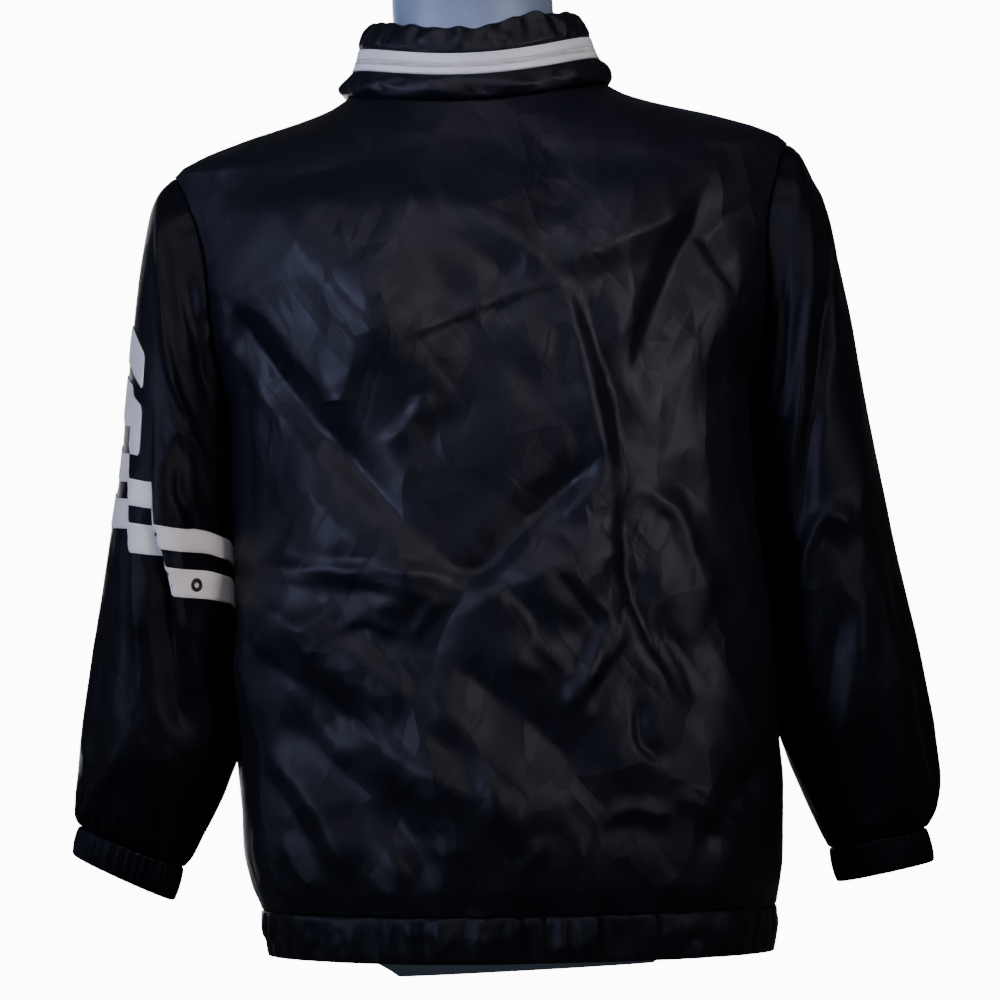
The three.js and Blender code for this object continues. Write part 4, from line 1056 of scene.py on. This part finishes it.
# Collar
def collar_surface(rise, angle, fine=True):
    c, s = np.cos(angle), np.sin(angle)
    depth = np.where(s > 0, collar["back"](rise), collar["front"](rise))
    free = smooth(0.05, 0.4, 1 - np.maximum(0, -s))
    lump = smooth(44, 60, rise) * (0.9 * np.sin(23 * angle) + 0.7 * np.sin(14 * angle + 1))
    peak = 6 * smooth(48, 63, rise) * np.exp(-((angle - 2.15) / 0.3) ** 2)
    puff = smooth(1, 8, rise) * (1 - smooth(14, 22, rise)) * 1.2 * np.sin(11 * angle + 0.5)
    z = NECK_HEIGHT - neck_drop(angle) + rise + (peak + 0.8 * lump) * free
    here = points(collar["half"](rise) * c, depth * s, z)
    out = (lump + puff) * free
    if fine:
        arc = angle * 92
        low = smooth(0.5, 5, rise) * (1 - smooth(17, 22.3, rise))
        high = smooth(40.8, 45, rise) * (1 - smooth(61, 63.5, rise))
        low_folds = creases(arc, rise + 0 * arc, COLLAR_LOW_SMALL) + 0.9 * wander(arc, rise * 1.6, 17, 71)
        high_folds = creases(arc, rise + 0 * arc, COLLAR_HIGH_SMALL) + 1.2 * wander(arc, rise * 1.2, 15, 73)
        out = out + (low * low_folds + high * high_folds) * free
    return here + points(c, s, 0 * c) * out[..., None]


def collar_grid(rises):
    rises = np.asarray(rises, float)[:, None]
    edge = np.arcsin(ZIP_CLOTH / collar["half"](rises))
    share = share_steps(COLLAR_COLUMNS, (0.001, 0.0025, 0.005))[None]
    angle = -0.5 * math.pi + edge + share * (2 * math.pi - 2 * edge)
    return collar_surface(np.broadcast_to(rises, angle.shape), angle)


def cloth(name, grid, material, node, slot, held, rests, ring=False, cut_width=0.0, tucked=0.0, **form):
    """Makes a piece of cloth. A tape is cut wider than what shows of it: cut_width, in
    metres, and tucked is the width of its edges that run on under its neighbours."""
    piece = shell(name, grid, material, ring=ring, **form)
    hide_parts(node)
    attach(piece, "jacket")
    flat, area = flat_size(grid)
    if ring:
        flat = (flat[0] * (1 + 1 / grid.shape[1]), flat[1])
        area = min(area * (1 + 1 / grid.shape[1]), flat[0] * flat[1])
    if cut_width:
        flat = (max(flat), cut_width)
        area += tucked * max(flat)


cloth("back", back_grid(), NYLON, "back_panel", "nylon", "hung", "form", seams="tblr")
# The sleeves and cuffs take the darkened copy of the nylon, which paints shade on the arms.
for side, name in ((1, "left"), (-1, "right")):
    cloth(f"front.{name}", front_grid(side), NYLON, f"front_{name}", "nylon", "hung", "form", seams="tblr")
    cloth(f"sleeve.{name}", sleeve_grid(side), SHADED_NYLON, f"sleeve_{name}", "nylon", "hung", "back", True,
          seams="tb")
    cloth(f"cuff.{name}", cuff_grid(side), SHADED_NYLON, f"cuff_{name}", "nylon", "gathered",
          f"sleeve.{name}", True, wall=1.2, roll=1.0, roll_wide=3.5, seams="t")
hem = hem_grid()
cloth("hem", hem, NYLON, "hem_band", "nylon", "gathered", "back", wall=1.4, roll=0.9, roll_wide=3.5,
      seams="b")

# The collar from its foot to its top: lower band, tape, coil, tape, upper band
coil_from = BAND_FROM + BAND_TAPE_LOW
coil_to = coil_from + BAND_COIL
lower = collar_grid([0.2, 0.7, 1.5, 2.6, 4, 5.6, 7.4, 9.4, 11.4, 13.4, 15.4, 17.2, 18.8, 20.2, 21.2, 21.9,
                     22.4])
upper = collar_grid([40.6, 41.1, 41.9, 43, 44.6, 46.6, 48.6, 50.6, 52.6, 54.6, 56.6, 58.4, 60, 61.2, 62.2,
                     63, 63.5])
tape_low = collar_grid([BAND_FROM, 22.9, 23.6, 25, 26.4, 27.2, coil_from - 0.1])
tape_high = collar_grid([coil_to + 0.1, 32.5, 33.2, 35, 37, 38.8, 39.8, BAND_TO])
strip = collar_grid([coil_from, coil_from + 0.6, coil_from + 2.2, coil_to - 0.6, coil_to])
cloth("collar.lower", lower, NYLON, "collar_lower", "nylon", "gathered", "back", wall=1.2, seams="tb",
      draw_in=0.9)
cloth("collar.upper", upper, NYLON, "collar_upper", "nylon", "gathered", "tape.upper", wall=1.2, roll=1.2,
      seams="t")
for name, grid, under in (("lower", tape_low, "collar.lower"), ("upper", tape_high, "tape.lower")):
    cloth(f"tape.{name}", grid, TAPE, f"collar_tape_{name}", "white", "folded", under, cut_width=0.014,
          tucked=0.0024, wall=1.0, raise_by=0.2, roll=0.5, roll_wide=1.2, seams="tb", allowance=1.2)
cloth("coil.strip", strip, TAPE, "collar_coil", "coil", "folded", "tape.lower", cut_width=0.012,
      tucked=0.002, wall=1.0, raise_by=-0.9, roll=0.2, roll_wide=0.8, seams="tb", allowance=1.0)


# Stripes and bars on the left sleeve
STRIPES = (("high", 7.68, 8.32), ("low", 8.68, 9.32))
BARS = (("high", 5.05, 5.85), ("low", 6.15, 7.05))
BAR_REACH, BAR_CORNER = 3.0, 0.12


def stripe_grid(low, high):
    ends = np.array([0, 0.015, 0.04, 0.1])
    at = np.concatenate([low + ends, [(low + high) / 2], high - ends[::-1]])
    return sleeve(1, at[:, None], around_rounds(1)[None])


def bar_grid(low, high):
    """A plain bar over the outer side of the arm, its corners cut off."""
    ends = np.array([0, 0.02, 0.05])
    at = np.concatenate([low + ends, np.linspace(low + 0.09, high - 0.09, 15), high - ends[::-1]])
    from_edge = np.minimum(at - low, high - at)[:, None]
    half = BAR_REACH - np.clip(BAR_CORNER - from_edge * ALONG / ROUND, 0, None)
    return sleeve(1, at[:, None], np.mod(half * np.linspace(-1, 1, 90)[None], SLEEVE_SIDES))


for name, low, high in STRIPES:
    cloth(f"stripe.{name}", stripe_grid(low, high), WHITE, f"stripe_{name}", "white", "laid", "sleeve.left",
          True, wall=0.7, raise_by=1.0, roll=0.35, roll_wide=1.5, draw_in=0.0)
for name, low, high in BARS:
    cloth(f"bar.{name}", bar_grid(low, high), WHITE, f"bar_{name}", "white", "laid", "sleeve.left",
          wall=0.8, raise_by=1.1, roll=0.35, roll_wide=1.5, draw_in=0.0)


# Hard pieces of the front zip, softened at their edges
def zip_line(on_hem, on_body, on_collar):
    """Points up the middle of the front; each part says from where, to where and how many."""
    front = np.full(1, -0.5 * math.pi)
    return np.concatenate([hem_surface(np.linspace(*on_hem), front, False),
                           body_plain(np.linspace(*on_body), front),
                           collar_surface(np.linspace(*on_collar), front, False)])


def ribbon(name, from_x, to_x, front, wall, material, node):
    """A flat strip up the whole zip, its long edges eased."""
    bevel = 0.3
    line = zip_line((0, 0.99, 14), (HEM_SEAM + 1, 745, 170), (1, 63, 26))
    xs = np.array([from_x, from_x + bevel, to_x - bevel, to_x])
    dips = np.array([bevel, 0, 0, bevel]) * 0.7
    grid = np.stack([points(np.full(len(line), x), line[:, 1] - front + dip, line[:, 2])
                     for x, dip in zip(xs, dips)], axis=1)
    piece = shell(name, grid, material, wall=wall, roll=0, draw_in=0)
    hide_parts(node)
    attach(piece, "jacket")
    return piece, grid


for side, name in ((1, "left"), (-1, "right")):
    ends = sorted((side * (ZIP_COIL + 0.3), side * ZIP_TAPE))
    piece, grid = ribbon(f"zip.tape.{name}", *ends, -0.2, 0.9, DARK_TAPE, f"zip_tape_{name}")
    flat, area = flat_size(grid)
ribbon("zip.core", -ZIP_COIL, ZIP_COIL, -0.4, 1.0, DARK_TAPE, "zip_coil")


def softened(node, name, width, material, body_name):
    """The same solid with its edges rounded."""
    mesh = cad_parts[node].data.copy()
    piece = placed(name, mesh)
    mesh.materials.clear()
    mesh.materials.append(material)
    weld = piece.modifiers.new("weld", "WELD")
    weld.merge_threshold = 1e-6
    edge = piece.modifiers.new("edge", "BEVEL")
    edge.width, edge.segments, edge.limit_method, edge.angle_limit = width, 2, "ANGLE", math.radians(35)
    seen = piece.evaluated_get(bpy.context.evaluated_depsgraph_get())
    done = bpy.data.meshes.new_from_object(seen)
    piece.modifiers.clear()
    piece.data = done
    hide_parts(node)
    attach(piece, body_name)
    return piece


softened("zip_slider", "slider", 0.00025, METAL, "jacket")
softened("zip_pull", "pull.tab", 0.00025, METAL, "pull")


# What repeats along a line: stitches and coil teeth
def repeated(name, line, out, pitch, size, material, sides=6):
    """Small round bodies set along a line, square to the cloth. Sizes in millimetres."""
    path = bpy.data.meshes.new(name + ".path")
    count = len(line)
    path.from_pydata((np.asarray(line) / 1000).tolist(), [(k, k + 1) for k in range(count - 1)], [])
    facing = path.attributes.new("facing", "FLOAT_VECTOR", "POINT")
    facing.data.foreach_set("vector", np.asarray(out, dtype=np.float32).ravel())
    piece = placed(name, path)
    tree = bpy.data.node_groups.new(name, "GeometryNodeTree")
    face = tree.interface
    face.new_socket("Path", in_out="INPUT", socket_type="NodeSocketGeometry")
    pitch_socket = face.new_socket("Pitch", in_out="INPUT", socket_type="NodeSocketFloat")
    size_socket = face.new_socket("Size", in_out="INPUT", socket_type="NodeSocketVector")
    face.new_socket("Pieces", in_out="OUTPUT", socket_type="NodeSocketGeometry")
    add, link = tree.nodes.new, tree.links.new
    start, end = add("NodeGroupInput"), add("NodeGroupOutput")
    curve, resample = add("GeometryNodeMeshToCurve"), add("GeometryNodeResampleCurve")
    tangent = add("GeometryNodeInputTangent")
    resample.mode = "LENGTH"
    read = add("GeometryNodeInputNamedAttribute")
    read.data_type = "FLOAT_VECTOR"
    read.inputs["Name"].default_value = "facing"
    turn = add("FunctionNodeAxesToRotation")
    turn.primary_axis, turn.secondary_axis = "Z", "X"
    unit = add("GeometryNodeMeshUVSphere")
    unit.inputs["Segments"].default_value, unit.inputs["Rings"].default_value = sides, 4
    unit.inputs["Radius"].default_value = 0.5
    spots, real = add("GeometryNodeInstanceOnPoints"), add("GeometryNodeRealizeInstances")
    paint = add("GeometryNodeSetMaterial")
    paint.inputs["Material"].default_value = material
    link(start.outputs["Path"], curve.inputs[0])
    link(curve.outputs[0], resample.inputs["Curve"])
    link(start.outputs["Pitch"], resample.inputs["Length"])
    link(resample.outputs[0], spots.inputs["Points"])
    link(read.outputs["Attribute"], turn.inputs[0])
    link(tangent.outputs[0], turn.inputs[1])
    link(turn.outputs[0], spots.inputs["Rotation"])
    link(unit.outputs[0], spots.inputs["Instance"])
    link(start.outputs["Size"], spots.inputs["Scale"])
    link(spots.outputs[0], real.inputs[0])
    link(real.outputs[0], paint.inputs["Geometry"])
    link(paint.outputs[0], end.inputs[0])
    modifier = piece.modifiers.new("repeat", "NODES")
    modifier.node_group = tree
    modifier[pitch_socket.identifier] = pitch / 1000
    modifier[size_socket.identifier] = tuple(v / 1000 for v in size)
    done = bpy.data.meshes.new_from_object(piece.evaluated_get(bpy.context.evaluated_depsgraph_get()))
    piece.modifiers.clear()
    piece.data = done
    done.polygons.foreach_set("use_smooth", np.full(len(done.polygons), True))
    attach(piece, "jacket")
    return piece


def on_grid(grid, ring, row_position):
    """A line across a grid at a fractional row, and the way out of the cloth along it."""
    normal = along_normals(grid, ring)
    low = int(math.floor(row_position))
    part = row_position - low
    high = min(low + 1, len(grid) - 1)
    line = grid[low] * (1 - part) + grid[high] * part
    out = normal[low] * (1 - part) + normal[high] * part
    if ring:
        line, out = np.concatenate([line, line[:1]]), np.concatenate([out, out[:1]])
    return line, out


def stitched(name, grid, ring, row, lift=0.0, material=THREAD, pitch=3.0,
             size=(2.3, 0.55, 0.5)):
    """A row of stitches along one row of a grid."""
    line, out = on_grid(grid, ring, row)
    return repeated(name, line + out * lift, out, pitch, size, material)


stitched("stitch.hem", hem, False, 14.6, 0.1)
for side, name in ((1, "left"), (-1, "right")):
    stitched(f"stitch.cuff.{name}", cuff_grid(side), True, 2.7, 0.0)
stitched("stitch.collar", lower, False, 14.5, 0.0)
stitched("stitch.collar.high", upper, False, 2.2, 0.0)
stitched("stitch.tape.low", tape_low, False, 1.6, 0.25, PALE_THREAD)
stitched("stitch.tape.high", tape_high, False, 5.4, 0.25, PALE_THREAD)
for name, low, high in STRIPES:
    for tag, at in (("a", low + 0.05), ("b", high - 0.05)):
        grid = sleeve(1, np.array([at - 0.02, at, at + 0.02])[:, None], around_rounds(1)[None])
        stitched(f"stitch.stripe.{name}.{tag}", grid, True, 1, 1.05, PALE_THREAD, 2.8,
                 (2.1, 0.5, 0.45))
coil_middle = collar_grid([coil_from + 1.0, (coil_from + coil_to) / 2, coil_to - 1.0])
line, out = on_grid(coil_middle, False, 1)
repeated("coil.teeth", line - out * 0.3, out, 1.35, (0.95, 3.6, 1.3), COIL, 8)
front_line = zip_line((0.02, 0.99, 14), (HEM_SEAM + 2, 745, 160), (2, 62.5, 24))
front_out = np.tile([0.0, -1.0, 0.0], (len(front_line), 1))
repeated("zip.teeth", front_line + front_out * -0.1, front_out, 1.5, (1.0, 4.6, 1.3), DARK_COIL, 8)


# Eyelet on the lower stripe
def eyelet():
    spot = sleeve(1, np.array([[8.98, 9.0, 9.02]]).T, np.array([[6.48, 6.5, 6.52]]))
    centre = spot[1, 1]
    out = along_normals(spot, False)[1, 1]
    if out[1] < 0:
        out = -out
    profile = table("r h", (2.6, -0.3), (2.6, 0.35), (2.75, 0.75), (3.1, 1.05), (3.8, 1.2), (4.7, 1.1),
                    (5.4, 0.75), (5.75, 0.35), (5.8, 0.0), (5.6, -0.3))
    turn = np.linspace(0, 2 * math.pi, 64, endpoint=False)
    side = np.cross(out, [0, 0, 1.0])
    side /= np.linalg.norm(side)
    up = np.cross(side, out)
    around = np.cos(turn)[:, None] * side + np.sin(turn)[:, None] * up
    rings = np.stack([centre + out * (1.25 + h) + r * around for r, h in zip(profile["r"], profile["h"])])
    count, sides = rings.shape[:2]
    index = np.arange(count * sides).reshape(count, sides)
    nxt = np.roll(index, -1, axis=1)
    after = np.roll(index, -1, axis=0)
    faces = np.stack([index, nxt, np.roll(nxt, -1, axis=0), after], axis=-1).reshape(-1, 4)
    piece = mesh_from("eyelet.ring", rings.reshape(-1, 3), faces, np.zeros((count * sides, 2)), METAL)
    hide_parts("eyelet")
    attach(piece, "jacket")
    return piece


eyelet()


# Dress form
FORM_LOW = table(
    "z half back front",
    (0, 108, 14, 96),
    (6, 116, 24, 101),
    (20, 138, 52, 109),
    (40, 166, 80, 117),
    (62, 184, 97, 125),
    (95, 194, 105, 130),
    (150, 195, 104, 132),
    (210, 189, 96, 130),
    (270, 182, 90, 126),
    (330, 178, 92, 124),
    (390, 184, 103, 128),
    (450, 194, 117, 134),
    (510, 205, 127, 134),
    (560, 218, 130, 129),
    (600, 229, 124, 120),
    (640, 241, 115, 111),
    (668, 250, 104, 102),
)
FORM_HIGH = table(
    "rise half back front level",
    (5, 97, 66, 69, 0),
    (12, 86, 63.5, 66, 0.15),
    (24, 76, 60.5, 62, 0.4),
    (40, 70.5, 58, 59, 0.75),
    (58, 69, 57, 58, 1),
    (84, 68.5, 57, 58, 1),
    (92, 66, 54.5, 55.5, 1),
    (96, 60, 49, 50, 1),
)


def form_piece():
    turn = np.linspace(0, 2 * math.pi, 96, endpoint=False)
    c, s = np.cos(turn), np.sin(turn)
    rings = []
    for k in range(len(FORM_LOW["z"])):
        z, half, back_depth, front_depth = (FORM_LOW[n][k] for n in ("z", "half", "back", "front"))
        e = 1.0 if z < 30 else 0.94
        rings.append(points(half * power(c, e), np.where(s > 0, back_depth, front_depth) * power(s, e),
                            z - rise_share(z) * neck_drop(turn)))
    for z in (688, 696, 706, 716, 726, 737, 747):
        near = body_plain(np.array([[z - 0.5], [z], [z + 0.5]]), turn[None])
        normal = along_normals(near, True)[1]
        under_cloth = 2.2 + 1.6 * (1 - smooth(690, 712, z))
        rings.append(near[1] - normal * under_cloth)
    for k in range(len(FORM_HIGH["rise"])):
        rise, half, back_depth, front_depth, level = (
            FORM_HIGH[n][k] for n in ("rise", "half", "back", "front", "level"))
        rings.append(points(half * power(c, 0.94), np.where(s > 0, back_depth, front_depth) * power(s, 0.94),
                            NECK_HEIGHT + rise - (1 - level) * neck_drop(turn)))
    coarse = np.stack(rings)
    size = lambda v: np.linalg.norm(v, axis=1, keepdims=True)
    fine = [coarse[0]]
    for k in range(len(coarse) - 1):
        p, q = coarse[max(k - 1, 0)], coarse[k]
        r, w = coarse[k + 1], coarse[min(k + 2, len(coarse) - 1)]
        gap = size(r - q)
        first = (r - p) / np.maximum(size(r - p), 1e-6) * gap if k > 0 else r - q
        last = (w - q) / np.maximum(size(w - q), 1e-6) * gap if k < len(coarse) - 2 else r - q
        for t in (0.25, 0.5, 0.75, 1.0):
            h1, h2 = 2 * t ** 3 - 3 * t ** 2 + 1, -2 * t ** 3 + 3 * t ** 2
            h3, h4 = t ** 3 - 2 * t ** 2 + t, t ** 3 - t ** 2
            fine.append(h1 * q + h2 * r + h3 * first + h4 * last)
    grid = np.stack(fine)
    rows, cols = grid.shape[:2]
    index = np.arange(rows * cols).reshape(rows, cols)
    nxt = np.roll(index, -1, axis=1)
    faces = np.stack([index[:-1], nxt[:-1], nxt[1:], index[1:]], axis=-1).reshape(-1, 4).tolist()
    faces += [index[0, ::-1].tolist(), index[-1].tolist()]
    mesh = bpy.data.meshes.new("dress.form")
    mesh.from_pydata((grid.reshape(-1, 3) / 1000).tolist(), [], faces)
    mesh.polygons.foreach_set("use_smooth", np.array([len(f) < 5 for f in faces]))
    mesh.materials.append(SHELL)
    piece = placed("dress.form", mesh)
    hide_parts("form")
    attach(piece, "jacket")
    return piece


form_piece()


# Floor, light and camera
def backdrop(name, vertices, faces):
    """A plain white surface that the camera sees and that lights nothing."""
    mesh = bpy.data.meshes.new(name)
    mesh.from_pydata(vertices, [], faces)
    mesh.materials.append(WHITE_STUDIO)
    piece = placed(name, mesh)
    piece.visible_diffuse = piece.visible_glossy = False
    piece.visible_transmission = piece.visible_shadow = False


def studio():
    turn = [2 * math.pi * k / 48 for k in range(48)]
    floor = [(1.5 * math.cos(a), 1.5 * math.sin(a), -0.0005) for a in turn]
    backdrop("studio.floor", floor, [tuple(range(48))])
    rise = [math.pi * (k / 16 - 0.5) for k in range(17)]
    dome = [(9 * math.cos(b) * math.cos(a), 9 * math.cos(b) * math.sin(a), 9 * math.sin(b))
            for b in rise for a in turn]
    faces = [(48 * k + j, 48 * k + 48 + j, 48 * k + 48 + (j + 1) % 48, 48 * k + (j + 1) % 48)
             for k in range(16) for j in range(48)]
    backdrop("studio.dome", dome, faces)


def lamp(name, place, aim, size, watts, colour, beam=180):
    """A square soft box; a beam under 180 degrees is that of a box with a grid in front."""
    light = bpy.data.lights.new(name, "AREA")
    light.spread = math.radians(beam)
    light.shape, light.size, light.energy, light.color = "SQUARE", size, watts, colour
    holder = placed(name, light)
    holder.location = place
    holder.rotation_euler = (Vector(aim) - Vector(place)).to_track_quat("-Z", "Y").to_euler()


studio()
lamp("key", (2.2, 1.8, 1.0), (-0.04, 0.1, 0.5), 0.75, 1.3, (0.54, 0.60, 1.0), 17)
lamp("fill", (-1.7, 2.2, 1.0), (0.04, 0.1, 0.5), 0.75, 0.8, (0.94, 0.87, 1.0), 17)
lamp("top", (0.1, 1.7, 2.3), (0, 0.1, 0.5), 1.0, 17.5, (0.86, 0.83, 1.0))
lamp("left", (2.7, 0.35, 0.9), (0.1, 0.1, 0.42), 1.5, 7.5, (0.55, 0.61, 1.0))
lamp("front", (0.7, -2.3, 0.6), (0, 0, 0.42), 1.4, 32, (0.95, 0.97, 1.0))
world = bpy.data.worlds.new("studio")
world.use_nodes = True
world.node_tree.nodes["Background"].inputs["Color"].default_value = (0.85, 0.92, 1.0, 1)
world.node_tree.nodes["Background"].inputs["Strength"].default_value = 0.06
bpy.context.scene.world = world

FAR, EYE, AIM, ROLL = 3.0, 0.25, 0.398, math.radians(3.2)
data = bpy.data.cameras.new("view")
data.sensor_width, data.lens = 36, 36 * FAR / 0.85
camera = bpy.data.objects.new("view", data)
eye, aim = Vector((0, FAR, EYE)), Vector((0, 0, AIM))
ahead = (aim - eye).normalized()
level = Vector((-1, 0, 0))
raised = level.cross(ahead)
right = level * math.cos(ROLL) - raised * math.sin(ROLL)
up = raised * math.cos(ROLL) + level * math.sin(ROLL)
camera.matrix_world = Matrix((
    (right.x, up.x, -ahead.x, eye.x),
    (right.y, up.y, -ahead.y, eye.y),
    (right.z, up.z, -ahead.z, eye.z),
    (0, 0, 0, 1),
))
bpy.context.scene.collection.objects.link(camera)
bpy.context.scene.camera = camera
